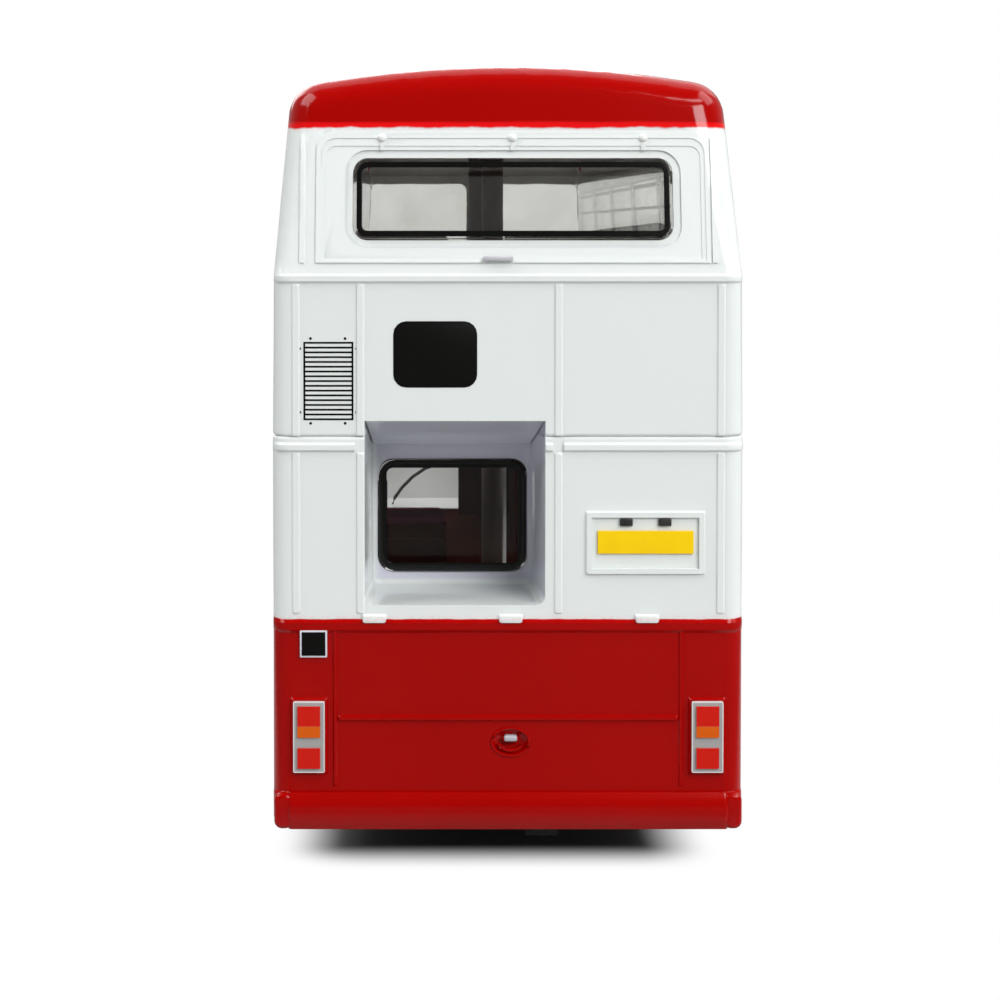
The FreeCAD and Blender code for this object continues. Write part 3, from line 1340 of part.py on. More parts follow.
def door(name, front, wide, leaves):
    """A folding door: a plate with one tall pane for each leaf."""
    body = doc.addObject("PartDesign::Body", name)
    rear = f"{front} - {wide}"
    low, high, frame = "door_bottom + fit_gap", DOOR_TOP + " - fit_gap", "door_frame"
    plate = sketch(body, "YZ_Plane", name + "_outline", [
        (rear + " + fit_gap", low), (front + " - fit_gap", low),
        (front + " - fit_gap", high), (rear + " + fit_gap", high),
    ])
    pad = body.newObject("PartDesign::Pad", name + "_plate")
    pad.Profile = plate
    pad.setExpression("Length", bound("door_thick"))
    leaf = f"{wide} / {leaves}"
    pane = sketch(body, "YZ_Plane", name + "_pane", [
        (f"{rear} + {frame}", f"{low} + {frame}"), (f"{rear} + {leaf} - {frame}", f"{low} + {frame}"),
        (f"{rear} + {leaf} - {frame}", f"{high} - {frame}"), (f"{rear} + {frame}", f"{high} - {frame}"),
    ])
    hole = body.newObject("PartDesign::Pocket", name + "_hole")
    hole.Profile = pane
    hole.Type = "ThroughAll"
    hole.Midplane = True
    doc.recompute()
    row = body.newObject("PartDesign::LinearPattern", name + "_leaves")
    row.Originals = [hole]
    row.Direction = (pane, ["H_Axis"])
    row.Occurrences = leaves
    row.setExpression("Length", bound(f"{leaf} * {leaves - 1}"))
    body.Tip = row
    place(body, x="door_inset - body_width / 2")
    return body


def column(name, y):
    """A brown column from the chassis to the roof, bored for its screw."""
    outer = doc.addObject("Part::Cylinder", name + "_bar")
    outer.setExpression("Radius", bound("post_radius"))
    outer.setExpression("Height", bound(f"body_height - casting_wall - post_gap - ({BASE_TOP})"))
    place(outer, y=y, z=BASE_TOP)
    bore = doc.addObject("Part::Cylinder", name + "_bore")
    bore.setExpression("Radius", bound("screw_radius + trim_gap"))
    bore.setExpression("Height", bound("screw_long"))
    place(bore, y=y, z="base_bottom")
    result = doc.addObject("Part::Cut", name)
    result.Base = outer
    result.Tool = bore
    return result


def screw(name, y):
    """A screw from under the chassis, with a slotted head."""
    head = doc.addObject("Part::Cylinder", name + "_head")
    head.setExpression("Radius", bound("screw_head"))
    head.setExpression("Height", bound("screw_head_tall"))
    place(head, y=y, z="base_bottom")
    shank = doc.addObject("Part::Cylinder", name + "_shank")
    shank.setExpression("Radius", bound("screw_radius"))
    shank.setExpression("Height", bound("screw_long - trim_gap * 2"))
    place(shank, y=y, z="base_bottom")
    whole = doc.addObject("Part::MultiFuse", name + "_whole")
    whole.Shapes = [head, shank]
    slot = doc.addObject("Part::Box", name + "_slot")
    slot.setExpression("Length", bound("screw_head * 3"))
    slot.setExpression("Width", bound("screw_head / 4"))
    slot.setExpression("Height", bound("screw_head_tall / 2"))
    place(slot, "-(screw_head * 1.5)", y + " - screw_head / 8", "base_bottom")
    result = doc.addObject("Part::Cut", name)
    result.Base = whole
    result.Tool = slot
    return result


def number_plate(name, x, y, z):
    """A thin blank plate."""
    plate = doc.addObject("Part::Box", name)
    plate.setExpression("Length", bound("plate_width"))
    plate.setExpression("Width", bound("plate_thick"))
    plate.setExpression("Height", bound("plate_tall"))
    place(plate, x, y, z)
    return plate


def steering_wheel(name):
    """A steering wheel on its column, over the dashboard."""
    rim = doc.addObject("Part::Torus", name + "_rim")
    rim.setExpression("Radius1", bound("wheel_rim"))
    rim.setExpression("Radius2", bound("wheel_wire"))
    spoke = doc.addObject("Part::Box", name + "_spoke")
    spoke.setExpression("Length", bound("wheel_rim * 2"))
    spoke.setExpression("Width", bound("wheel_wire * 2"))
    spoke.setExpression("Height", bound("wheel_wire"))
    place(spoke, "-wheel_rim", "-wheel_wire", "-(wheel_wire / 2)")
    stem = doc.addObject("Part::Cylinder", name + "_stem")
    stem.setExpression("Radius", bound("wheel_stem"))
    stem.setExpression("Height", bound("wheel_rim"))
    place(stem, z="-wheel_rim")
    whole = doc.addObject("Part::MultiFuse", name)
    whole.Shapes = [rim, spoke, stem]
    whole.Placement = Placement(Vector(0, 0, 0), Rotation(Vector(1, 0, 0), -25))
    place(whole, "body_width / 2 - driver_side",
          "body_length / 2 - casting_wall - fit_gap * 2 - glass_wall - dash_deep - wheel_behind",
          SCREEN_SILL + " + dash_rise + wheel_lift")
    return whole


# ---------------------------------------------------------------- the document's sub-parts

made = []


def keep(part, label):
    """Notes a finished sub-part under its own label."""
    part.Label = label
    made.append(part)


def shaped(label, shape):
    """A sub-part whose shape comes from Part's own functions."""
    part = doc.addObject("Part::Feature", label)
    part.Shape = shape
    keep(part, label)


for label, shape in (
    ("upper_body", upper_body()),
    ("lower_body", lower_body()),
    ("upper_glazing", upper_glazing()),
    ("lower_glazing", lower_glazing()),
    ("upper_window_seals", upper_window_seals()),
    ("lower_window_seals", lower_window_seals()),
    ("upper_saloon", upper_saloon()),
    ("lower_saloon", lower_saloon()),
    ("chassis", chassis()),
    ("rear_left_lamp", rear_lamp(-1)),
    ("rear_right_lamp", rear_lamp(1)),
    ("headlamps", headlamps()),
    ("front_indicators", front_indicators()),
    ("plate_lamps", plate_lamps()),
    ("front_display", front_display()),
    ("side_display", side_display()),
    ("left_mirror", mirror(-1)),
    ("right_mirror", mirror(1)),
    ("wipers", wipers()),
    ("bonnet_catch", bonnet_catch()),
    ("rear_door_handle", rear_door_handle()),
):
    shaped(label, shape)

for end, axle_y, twin in (("front", FRONT_AXLE_Y, False), ("rear", REAR_AXLE_Y, True)):
    keep(axle(end + "_axle", axle_y), end + "_axle")
    for hand, side in (("left", -1), ("right", 1)):
        rubber = f"{end}_{hand}_tyre" + ("s" if twin else "")
        keep(tyre(rubber, side, axle_y, twin), rubber)
        keep(hub(f"{end}_{hand}_hub", side, axle_y, twin), f"{end}_{hand}_hub")

for end, post_y in (("rear", REAR_POST_Y), ("front", FRONT_POST_Y)):
    keep(column(end + "_column", post_y), end + "_column")
    keep(screw(end + "_screw", post_y), end + "_screw")

keep(door("front_door", "(body_length / 2 - front_door_ahead)", "front_door_wide", 4), "front_door")
keep(door("exit_door", f"({FRONT_AXLE_Y} - arch_radius - exit_door_behind)", "exit_door_wide", 4), "exit_door")
keep(number_plate("rear_number_plate", "body_width / 2 - plate_side - plate_width",
                  "-(body_length / 2) - trim_gap - plate_thick", "paint_height + plate_rise"),
     "rear_number_plate")
keep(number_plate("front_number_plate", "-(plate_width / 2)", "body_length / 2 + trim_gap",
                  BUMPER_TOP + " + front_plate_rise"), "front_number_plate")
keep(steering_wheel("steering_wheel"), "steering_wheel")

# ---------------------------------------------------------------- check and write

doc.recompute()
for item in doc.Objects:
    if "Invalid" in item.State or "Error" in item.State:
        raise RuntimeError(item.Label + " did not compute")
for part in made:
    if part.Shape.isNull() or not part.Shape.isValid():
        raise RuntimeError(part.Label + " has no valid shape")

os.makedirs("parts", exist_ok=True)
for part in made:
    part.Shape.exportStep("parts/" + part.Label + ".step")
    print(part.Label, len(part.Shape.Solids), round(part.Shape.Volume, 3))
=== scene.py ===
"""Looks of a die-cast 1:76 double-decker bus: paint, printed trim, glass, lamps and studio."""

import json
import logging
import math
from dataclasses import dataclass, field
from enum import Enum

import bmesh
import bpy
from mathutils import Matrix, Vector


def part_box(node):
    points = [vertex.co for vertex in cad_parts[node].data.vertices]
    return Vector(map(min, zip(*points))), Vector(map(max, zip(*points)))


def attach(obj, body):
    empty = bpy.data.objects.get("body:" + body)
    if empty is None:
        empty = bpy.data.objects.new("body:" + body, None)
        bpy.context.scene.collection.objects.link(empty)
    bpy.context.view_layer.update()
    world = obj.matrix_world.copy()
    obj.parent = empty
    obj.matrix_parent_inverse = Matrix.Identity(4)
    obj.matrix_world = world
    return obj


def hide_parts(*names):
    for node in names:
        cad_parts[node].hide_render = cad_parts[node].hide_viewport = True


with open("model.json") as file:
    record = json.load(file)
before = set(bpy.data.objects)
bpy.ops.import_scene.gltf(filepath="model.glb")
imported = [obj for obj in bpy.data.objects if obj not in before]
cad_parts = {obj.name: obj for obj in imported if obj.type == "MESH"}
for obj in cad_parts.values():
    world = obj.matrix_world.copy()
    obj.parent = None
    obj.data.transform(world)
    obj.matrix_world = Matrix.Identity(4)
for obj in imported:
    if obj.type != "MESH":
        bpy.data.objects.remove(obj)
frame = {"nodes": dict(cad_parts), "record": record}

LOG = logging.getLogger("bus")
MM = 0.001
Colour = tuple[float, float, float]


def linear(red: int, green: int, blue: int) -> Colour:
    """Turns an 8-bit display colour into the linear colour that a shader takes.

    Args:
        red: Red, 0 to 255.
        green: Green, 0 to 255.
        blue: Blue, 0 to 255.

    Returns:
        The linear red, green and blue.
    """
    def one(value: int) -> float:
        """Turns one display channel into a linear one.

        Args:
            value: The channel, 0 to 255.

        Returns:
            The channel's linear share.
        """
        share = value / 255
        return share / 12.92 if share <= 0.04045 else ((share + 0.055) / 1.055) ** 2.4

    return one(red), one(green), one(blue)


# ---------------------------------------------------------------- shader building


class Tree:
    """A node tree under construction, with short ways to add and join nodes."""

    def __init__(self, tree: bpy.types.NodeTree) -> None:
        """Takes the tree to fill.

        Args:
            tree: The material's or the group's node tree.
        """
        self.tree = tree

    def add(self, kind: str, settings: dict | None = None, **inputs: object) -> bpy.types.Node:
        """Adds one node.

        Args:
            kind: The node's type, without its ShaderNode prefix.
            settings: Properties of the node itself.
            **inputs: Values or sockets for its inputs, with _ for a blank in a name.

        Returns:
            The new node.
        """
        node = self.tree.nodes.new("ShaderNode" + kind)
        for name, value in (settings or {}).items():
            setattr(node, name, value)
        for name, value in inputs.items():
            self.feed(node, name.replace("_", " "), value)
        return node

    def feed(self, node: bpy.types.Node, name: str | int, value: object) -> None:
        """Gives an input a value or a link.

        Args:
            node: The node with the input.
            name: The input's name or number.
            value: A socket to link from, a number or a colour.
        """
        socket = node.inputs[name]
        if isinstance(value, bpy.types.NodeSocket):
            self.tree.links.new(value, socket)
        elif isinstance(value, tuple) and len(value) == 3 and socket.type == "RGBA":
            socket.default_value = (*value, 1.0)
        else:
            socket.default_value = value

    def maths(self, how: str, *values: object, clamp: bool = False) -> bpy.types.NodeSocket:
        """Adds a Math node.

        Args:
            how: Its operation.
            *values: Its inputs in order.
            clamp: Whether the result stays within 0 and 1.

        Returns:
            Its output.
        """
        node = self.add("Math", {"operation": how, "use_clamp": clamp})
        for index, value in enumerate(values):
            self.feed(node, index, value)
        return node.outputs[0]

    def mix(self, share: object, first: object, second: object) -> bpy.types.NodeSocket:
        """Adds a colour mix.

        Args:
            share: How much of the second colour shows.
            first: Colour at a share of 0.
            second: Colour at a share of 1.

        Returns:
            The mixed colour.
        """
        node = self.add("Mix", {"data_type": "RGBA"})
        for index, value in ((0, share), (6, first), (7, second)):
            self.feed(node, index, value)
        return node.outputs[2]

    def ramp(self, value: object, low: object, high: object) -> bpy.types.NodeSocket:
        """Adds a smooth step.

        Args:
            value: What is measured.
            low: Where the step starts at 0.
            high: Where the step ends at 1.

        Returns:
            The share between 0 and 1.
        """
        node = self.add("MapRange", {"interpolation_type": "SMOOTHSTEP"})
        for name, given in (("Value", value), ("From Min", low), ("From Max", high)):
            self.feed(node, name, given)
        return node.outputs[0]

    def place(self) -> tuple[bpy.types.NodeSocket, ...]:
        """Adds the piece's own coordinates.

        Returns:
            The position and its X, Y and Z.
        """
        point = self.add("TexCoord").outputs["Object"]
        parts = self.add("SeparateXYZ", Vector=point)
        return point, parts.outputs[0], parts.outputs[1], parts.outputs[2]

    def surface(self, share: bpy.types.NodeSocket, first: bpy.types.Node, second: bpy.types.Node) -> None:
        """Ends the material with a mix of two shaders.

        Args:
            share: How much of the second shader shows.
            first: The shader at a share of 0.
            second: The shader at a share of 1.
        """
        blend = self.add("MixShader")
        for index, source in enumerate((share, first.outputs[0], second.outputs[0])):
            self.tree.links.new(source, blend.inputs[index])
        self.tree.links.new(blend.outputs[0], self.tree.nodes["Material Output"].inputs["Surface"])

    def within(self, value: object, low: float, high: float, soft: float) -> bpy.types.NodeSocket:
        """Adds a mask for a band.

        Args:
            value: What is measured.
            low: The band's lower edge.
            high: The band's upper edge.
            soft: Width of the blur at each edge.

        Returns:
            1 inside the band and 0 outside it.
        """
        rise = self.ramp(value, low - soft, low + soft)
        fall = self.ramp(value, high + soft, high - soft)
        return self.maths("MULTIPLY", rise, fall)


def group(name: str, inputs: dict[str, float], outputs: tuple[str, ...]) -> tuple[Tree, dict, dict]:
    """Starts a shader node group.

    Args:
        name: The group's name.
        inputs: Its number inputs and their defaults.
        outputs: Its number outputs.

    Returns:
        The tree, its input sockets by name and its output sockets by name.
    """
    made = bpy.data.node_groups.new(name, "ShaderNodeTree")
    for label, value in inputs.items():
        socket = made.interface.new_socket(label, in_out="INPUT", socket_type="NodeSocketFloat")
        socket.default_value = value
    for label in outputs:
        made.interface.new_socket(label, in_out="OUTPUT", socket_type="NodeSocketFloat")
    tree = Tree(made)
    start, end = made.nodes.new("NodeGroupInput"), made.nodes.new("NodeGroupOutput")
    return tree, {s.name: s for s in start.outputs}, {s.name: s for s in end.inputs}


def mottle_group() -> bpy.types.NodeTree:
    """Makes the group of slow blotches and fine grain that every finish shares.

    Returns:
        The group, with a Blotch and a Grain output between 0 and 1.
    """
    inputs = {"Blotch Scale": 180.0, "Grain Scale": 4000.0}
    tree, given, out = group("Mottle", inputs, ("Blotch", "Grain"))
    point = tree.place()[0]
    slow = tree.add("TexNoise", Vector=point, Scale=given["Blotch Scale"], Detail=3.0)
    fine = tree.add("TexNoise", Vector=point, Scale=given["Grain Scale"], Detail=2.0)
    tree.tree.links.new(slow.outputs["Fac"], out["Blotch"])
    tree.tree.links.new(fine.outputs["Fac"], out["Grain"])
    return tree.tree


def wear_and_crease_shade_group() -> bpy.types.NodeTree:
    """Makes the group that marks raised edges, for wear, and creases, for painted shade, broken up by noise.

    Returns:
        The group, with an Edge output for wear and a Crease output for painted shade, both between 0 and 1.
    """
    tree, given, out = group("Wear", {"Scale": 900.0, "Reach": 0.08}, ("Edge", "Crease"))
    point = tree.place()[0]
    noise = tree.add("TexNoise", Vector=point, Scale=given["Scale"], Detail=4.0).outputs["Fac"]
    sharp = tree.add("NewGeometry").outputs["Pointiness"]
    broken = tree.maths("MULTIPLY_ADD", noise, given["Reach"], 0.5)
    top = tree.maths("ADD", broken, given["Reach"])
    low = tree.maths("SUBTRACT", 0.5, given["Reach"])
    tree.tree.links.new(tree.ramp(sharp, broken, top), out["Edge"])
    tree.tree.links.new(tree.ramp(sharp, 0.5, low), out["Crease"])
    return tree.tree


def border_group() -> bpy.types.NodeTree:
    """Makes the group for the sprayed edge between two paints.

    Returns:
        The group: Above is 1 over a ragged line at Level, and Mist is the spray that drifted past it.
    """
    inputs = {"Height": 0.0, "Level": 0.0, "Ragged": 0.00012, "Drift": 0.0006}
    tree, given, out = group("Border", inputs, ("Above", "Mist"))
    point = tree.place()[0]
    wander = tree.add("TexNoise", Vector=point, Scale=700.0, Detail=4.0).outputs["Fac"]
    speck = tree.add("TexNoise", Vector=point, Scale=6000.0, Detail=1.0).outputs["Fac"]
    shift = tree.maths("MULTIPLY", tree.maths("SUBTRACT", wander, 0.5), given["Ragged"])
    line = tree.maths("ADD", given["Level"], shift)
    gap = tree.maths("SUBTRACT", given["Height"], line)
    edge = tree.maths("MULTIPLY", given["Ragged"], 0.25)
    tree.tree.links.new(tree.ramp(gap, tree.maths("MULTIPLY", edge, -1.0), edge), out["Above"])
    far = tree.ramp(tree.maths("ABSOLUTE", gap), given["Drift"], 0.0)
    dots = tree.ramp(tree.maths("MULTIPLY", speck, far), 0.25, 0.75)
    tree.tree.links.new(dots, out["Mist"])
    return tree.tree


@dataclass(frozen=True)
class SharedGroups:
    """The shader node groups that the finishes share."""

    mottle: bpy.types.NodeTree = field(default_factory=mottle_group)
    wear_and_crease_shade: bpy.types.NodeTree = field(default_factory=wear_and_crease_shade_group)
    border: bpy.types.NodeTree = field(default_factory=border_group)


class Shade(Tree):
    """One material: a Principled shader and what feeds it."""

    groups: SharedGroups

    def __init__(self, name: str) -> None:
        """Makes an empty material.

        Args:
            name: The material's name.
        """
        self.material = bpy.data.materials.new(name + "_finish")
        self.material.use_nodes = True
        super().__init__(self.material.node_tree)
        self.shader = self.tree.nodes["Principled BSDF"]

    def use(self, shared: bpy.types.NodeTree, **inputs: object) -> bpy.types.Node:
        """Places a shared group.

        Args:
            shared: The group.
            **inputs: Its inputs, with _ for a blank in a name.

        Returns:
            The group's node.
        """
        node = self.tree.nodes.new("ShaderNodeGroup")
        node.node_tree = shared
        for name, value in inputs.items():
            self.feed(node, name.replace("_", " "), value)
        return node

    def set(self, **values: object) -> None:
        """Sets the Principled shader's own inputs.

        Args:
            **values: Inputs by name, with _ for a blank.
        """
        for name, value in values.items():
            self.feed(self.shader, name.replace("_", " "), value)

    def bump(self, height: object, depth: float) -> None:
        """Feeds the shader's normal from a height.

        Args:
            height: The height, 0 to 1.
            depth: Its depth in metres.
        """
        node = self.add("Bump", Height=height, Distance=depth, Strength=1.0)
        self.set(Normal=node.outputs[0])


# ---------------------------------------------------------------- finishes


@dataclass(frozen=True)
class Moulded:
    """A plastic, rubber or metal with blotches, grain, worn edges and, if asked, a band of trim.

    The band is a stretch of height on the left half of the piece, from band_start forward.
    """

    name: str
    colour: Colour
    worn_and_crease_shade: Colour
    roughness: float
    grain: float = 0.000004
    grain_scale: float = 4000.0
    metallic: float = 0.0
    coat: float = 0.0
    variation: float = 0.18
    wear_and_crease_shade: float = 0.5
    shine: float = 0.35
    uneven: float = 0.16
    coat_roughness: float = 0.06
    band: tuple[float, float] | None = None
    band_colour: Colour = (1.0, 1.0, 1.0)
    band_blur: float = 0.3 * MM
    band_start: float = -6.0 * MM

    def material(self) -> bpy.types.Material:
        """Builds the finish.

        Returns:
            The material.
        """
        shade = Shade(self.name)
        mottle = shade.use(Shade.groups.mottle, Grain_Scale=self.grain_scale)
        wear_and_crease_shade = shade.use(Shade.groups.wear_and_crease_shade)
        dark = tuple(c * (1 - self.variation) for c in self.colour)
        colour = shade.mix(mottle.outputs["Blotch"], dark, self.colour)
        if self.band:
            _, across, along, height = shade.place()
            trim = shade.maths("MULTIPLY", shade.within(height, *self.band, self.band_blur),
                               shade.maths("GREATER_THAN", along, self.band_start))
            trim = shade.maths("MULTIPLY", trim, shade.maths("LESS_THAN", across, 0.0))
            colour = shade.mix(trim, colour, self.band_colour)
        edge = shade.maths("MULTIPLY", wear_and_crease_shade.outputs["Edge"], self.wear_and_crease_shade)
        shade.set(Base_Color=shade.mix(edge, colour, self.worn_and_crease_shade), Metallic=self.metallic)
        spread = shade.maths("MULTIPLY_ADD", mottle.outputs["Blotch"], self.uneven,
                             self.roughness - self.uneven / 2)
        shade.set(Roughness=spread, Specular_IOR_Level=self.shine)
        shade.set(Coat_Weight=self.coat, Coat_Roughness=self.coat_roughness)
        shade.bump(mottle.outputs["Grain"], self.grain)
        return shade.material


@dataclass(frozen=True)
class BodyPaint:
    """Gloss white castings with a red roof and red lower panels, sprayed through masks.

    Each colour is linear and each length is in metres. The niche is the recess of the engine cover, whose
    faces that don't face up or to the right get a painted shade of lilac grey. Creases get a painted shade
    of blue grey, and a brighter red lip just above the roof line is a painted highlight. The drifted spray
    is real overspray at the roof line; at the skirt line the same pink and bright red dots are a painted
    highlight. The shell and the skin bound the inner faces of the castings.
    """

    name: str = "body_paint"
    white: Colour = linear(227, 232, 230)
    red: Colour = linear(167, 4, 1)
    deep_red: Colour = linear(155, 2, 0)
    painted_highlight_red: Colour = linear(222, 14, 18)
    overspray_and_highlight: Colour = linear(244, 176, 190)
    painted_crease_shade: Colour = linear(150, 156, 166)
    niche_shade: Colour = linear(210, 210, 222)
    bare: Colour = linear(222, 220, 216)
    dim: Colour = linear(228, 225, 220)
    skirt_line: float = 19.08 * MM
    skirt_ragged: float = 0.00012
    roof_line: float = 53.55 * MM
    roof_ragged: float = 0.00035
    lip_highlight_band: float = 0.55 * MM
    overspray_and_highlight_share: float = 0.35
    skirt_highlight_share: float = 0.3
    painted_crease_shade_share: float = 0.35
    tab_depth: float = 0.2 * MM
    tab_foot: float = 18.5 * MM
    seam: float = 31.9 * MM
    niche: tuple[float, float] = (-10.3 * MM, 2.9 * MM)
    niche_rise: tuple[float, float] = (20.3 * MM, 33.1 * MM)
    niche_blur: tuple[float, float] = (0.1 * MM, 0.3 * MM)
    niche_lip: float = 0.7 * MM
    niche_turn: tuple[float, float] = (0.7, 0.3)
    shell: tuple[float, float] = (2.2 * MM, 5.5 * MM)
    skin: float = 1.4 * MM
    roof_inside: float = 50 * MM
    inward: float = -0.35
    roughness: float = 0.1
    uneven: float = 0.06
    shine: float = 0.14
    coat: float = 0.25
    coat_roughness: float = 0.11
    grain: float = 0.000006

    def inner(self, shade: "Shade") -> bpy.types.NodeSocket:
        """Marks the inner faces of the two castings, which the sprayed colours don't reach.

        Args:
            shade: The material.

        Returns:
            The mask.
        """
        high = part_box("lower_body")[1]
        facing = shade.add("SeparateXYZ", Vector=shade.add("TexCoord").outputs["Normal"]).outputs
        masks = []
        for axis, reach in ((0, high.x), (1, high.y)):
            spot = shade.place()[1 + axis]
            sign = shade.maths("SIGN", spot)
            inward = shade.maths("LESS_THAN", shade.maths("MULTIPLY", facing[axis], sign), self.inward)
            near = shade.maths("GREATER_THAN", shade.maths("ABSOLUTE", spot), reach - self.shell[axis])
            masks.append(shade.maths("MULTIPLY", inward, near))
        ceiling = shade.maths("LESS_THAN", facing[2], self.inward)
        above = shade.maths("GREATER_THAN", shade.place()[3], self.roof_inside)
        masks.append(shade.maths("MULTIPLY", ceiling, above))
        found = shade.maths("MAXIMUM", shade.maths("MAXIMUM", masks[0], masks[1]), masks[2])
        length = shade.maths("LESS_THAN", shade.maths("ABSOLUTE", shade.place()[2]), high.y - self.skin)
        return shade.maths("MULTIPLY", found, length)

    def material(self) -> bpy.types.Material:
        """Builds the finish.

        Returns:
            The material.
        """
        shade = Shade(self.name)
        _, across, along, height = shade.place()
        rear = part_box("rear_number_plate")[1].y
        mottle = shade.use(Shade.groups.mottle, Blotch_Scale=90.0, Grain_Scale=1500.0)
        wear_and_crease_shade = shade.use(Shade.groups.wear_and_crease_shade)
        border = Shade.groups.border
        roof = shade.use(border, Height=height, Level=self.roof_line, Ragged=self.roof_ragged)
        drop = shade.maths("MULTIPLY", height, -1.0)
        skirt = shade.use(border, Height=drop, Level=-self.skirt_line, Ragged=self.skirt_ragged)
        tabs = shade.maths("LESS_THAN", along, rear - self.tab_depth)
        tabs = shade.maths("MULTIPLY", tabs, shade.maths("GREATER_THAN", height, self.tab_foot))
        below = shade.maths("MULTIPLY", skirt.outputs["Above"], shade.maths("SUBTRACT", 1.0, tabs))
        painted = shade.maths("MAXIMUM", roof.outputs["Above"], below)
        # The drifted spray is real overspray at the roof line; at the skirt line the same pink dots on white
        # are a painted highlight.
        overspray_and_highlight = shade.maths("MAXIMUM", roof.outputs["Mist"], skirt.outputs["Mist"])
        white = shade.mix(shade.maths("MULTIPLY", overspray_and_highlight, self.overspray_and_highlight_share), self.white, self.overspray_and_highlight)
        # Painted shade: faces in the recess that don't face up or to the right are tinted a darker lilac
        # grey.
        niche = shade.maths("MULTIPLY", shade.within(across, *self.niche, self.niche_blur[0]),
                            shade.within(height, *self.niche_rise, self.niche_blur[1]))
        niche = shade.maths("MULTIPLY", niche, shade.ramp(along, rear, rear + self.niche_lip))
        niche = shade.maths("MULTIPLY", niche, shade.maths("LESS_THAN", along, 0.0))
        facing = shade.add("SeparateXYZ", Vector=shade.add("TexCoord").outputs["Normal"]).outputs
        lit = shade.maths("MAXIMUM", facing[0], facing[2])
        niche = shade.maths("MULTIPLY", niche, shade.ramp(lit, *self.niche_turn))
        white = shade.mix(niche, white, self.niche_shade)
        # Painted shade: creases are darkened towards a blue grey.
        worn_and_crease_shade = shade.maths("MULTIPLY", wear_and_crease_shade.outputs["Crease"], self.painted_crease_shade_share)
        white = shade.mix(worn_and_crease_shade, white, self.painted_crease_shade)
        red = shade.mix(mottle.outputs["Blotch"], self.deep_red, self.red)
        # Painted highlight: a band of brighter red just above the roof line, wandering with the blotches.
        wander = shade.maths("MULTIPLY", mottle.outputs["Blotch"], self.lip_highlight_band)
        top = shade.maths("ADD", self.roof_line, wander)
        lip_highlight = shade.ramp(height, shade.maths("ADD", top, self.lip_highlight_band / 2), top)
        lip_highlight = shade.maths("MULTIPLY", lip_highlight, roof.outputs["Above"])
        # Painted highlight: bright red dots where the skirt line's spray falls on the red.
        skirt_highlight = shade.maths("MULTIPLY", skirt.outputs["Mist"], self.skirt_highlight_share)
        red = shade.mix(shade.maths("MAXIMUM", lip_highlight, skirt_highlight), red, self.painted_highlight_red)
        colour = shade.mix(painted, white, red)
        bare = shade.mix(shade.maths("GREATER_THAN", height, self.seam), self.bare, self.dim)
        shade.set(Base_Color=shade.mix(self.inner(shade), colour, bare), Specular_IOR_Level=self.shine)
        shade.set(Coat_Weight=self.coat, Coat_Roughness=self.coat_roughness)
        spread = shade.maths("MULTIPLY_ADD", mottle.outputs["Blotch"], self.uneven, self.roughness)
        shade.set(Roughness=spread)
        shade.bump(mottle.outputs["Grain"], self.grain)
        return shade.material


@dataclass(frozen=True)
class ClearPlastic:
    """Clear moulding with faint flow lines; shadows pass through it."""

    name: str = "clear_plastic"
    tint: Colour = linear(244, 245, 242)
    bend: float = 1.46
    haze: float = 0.04
    ripple: float = 0.00001

    def material(self) -> bpy.types.Material:
        """Builds the finish.

        Returns:
            The material.
        """
        shade = Shade(self.name)
        mottle = shade.use(Shade.groups.mottle, Blotch_Scale=120.0, Grain_Scale=900.0)
        shade.set(Base_Color=shade.mix(mottle.outputs["Blotch"], self.tint, (1.0, 1.0, 1.0)))
        shade.set(Transmission_Weight=1.0, IOR=self.bend)
        shade.set(Roughness=shade.maths("MULTIPLY", mottle.outputs["Blotch"], self.haze))
        shade.bump(mottle.outputs["Blotch"], self.ripple)
        path = shade.add("LightPath")
        passing = shade.maths("MAXIMUM", path.outputs["Is Shadow Ray"], path.outputs["Is Diffuse Ray"])
        shade.surface(passing, shade.shader, shade.add("BsdfTransparent"))
        return shade.material


@dataclass(frozen=True)
class LampStack:
    """A silver lamp housing whose lenses are red, orange and red from the top down, with a painted highlight
    round its edge.

    The shares are the heights of the two upper lenses, the housing left bare and the lowest lens.
    """

    name: str
    node: str
    silver: Colour = linear(164, 163, 162)
    bright: Colour = linear(226, 226, 226)
    red: Colour = linear(205, 24, 8)
    orange: Colour = linear(214, 92, 6)
    inset: float = 0.3 * MM
    rim: float = 0.07 * MM
    blur: float = 0.02 * MM
    shares: tuple[float, ...] = (6.3, 3.5, 3.2, 6.5)

    def material(self) -> bpy.types.Material:
        """Builds the finish.

        Returns:
            The material.
        """
        shade = Shade(self.name)
        _, across, _, height = shade.place()
        low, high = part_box(self.node)
        mottle = shade.use(Shade.groups.mottle, Grain_Scale=9000.0)
        inside = shade.within(across, low.x + self.inset, high.x - self.inset, self.blur)
        unit = (high.z - low.z - 2 * self.inset) / sum(self.shares)
        top = high.z - self.inset
        colour: object = self.silver
        for share, lens in zip(self.shares, (self.red, self.orange, None, self.red)):
            foot = top - share * unit
            if lens:
                mask = shade.within(height, foot, top, self.blur)
                colour = shade.mix(shade.maths("MULTIPLY", mask, inside), colour, lens)
            top = foot
        # Painted highlight: a pale band round the housing's outer edge stands for the light that its rim
        # catches.
        flat = shade.maths("MULTIPLY", shade.within(across, low.x + self.rim, high.x - self.rim, self.blur),
                           shade.within(height, low.z + self.rim, high.z - self.rim, self.blur))
        rim = shade.maths("SUBTRACT", 1.0, flat)
        shade.set(Base_Color=shade.mix(rim, colour, self.bright), Coat_Weight=0.12, Specular_IOR_Level=0.2)
        shade.set(Roughness=shade.maths("MULTIPLY_ADD", mottle.outputs["Grain"], 0.2, 0.2))
        shade.bump(mottle.outputs["Grain"], 0.000008)
        return shade.material


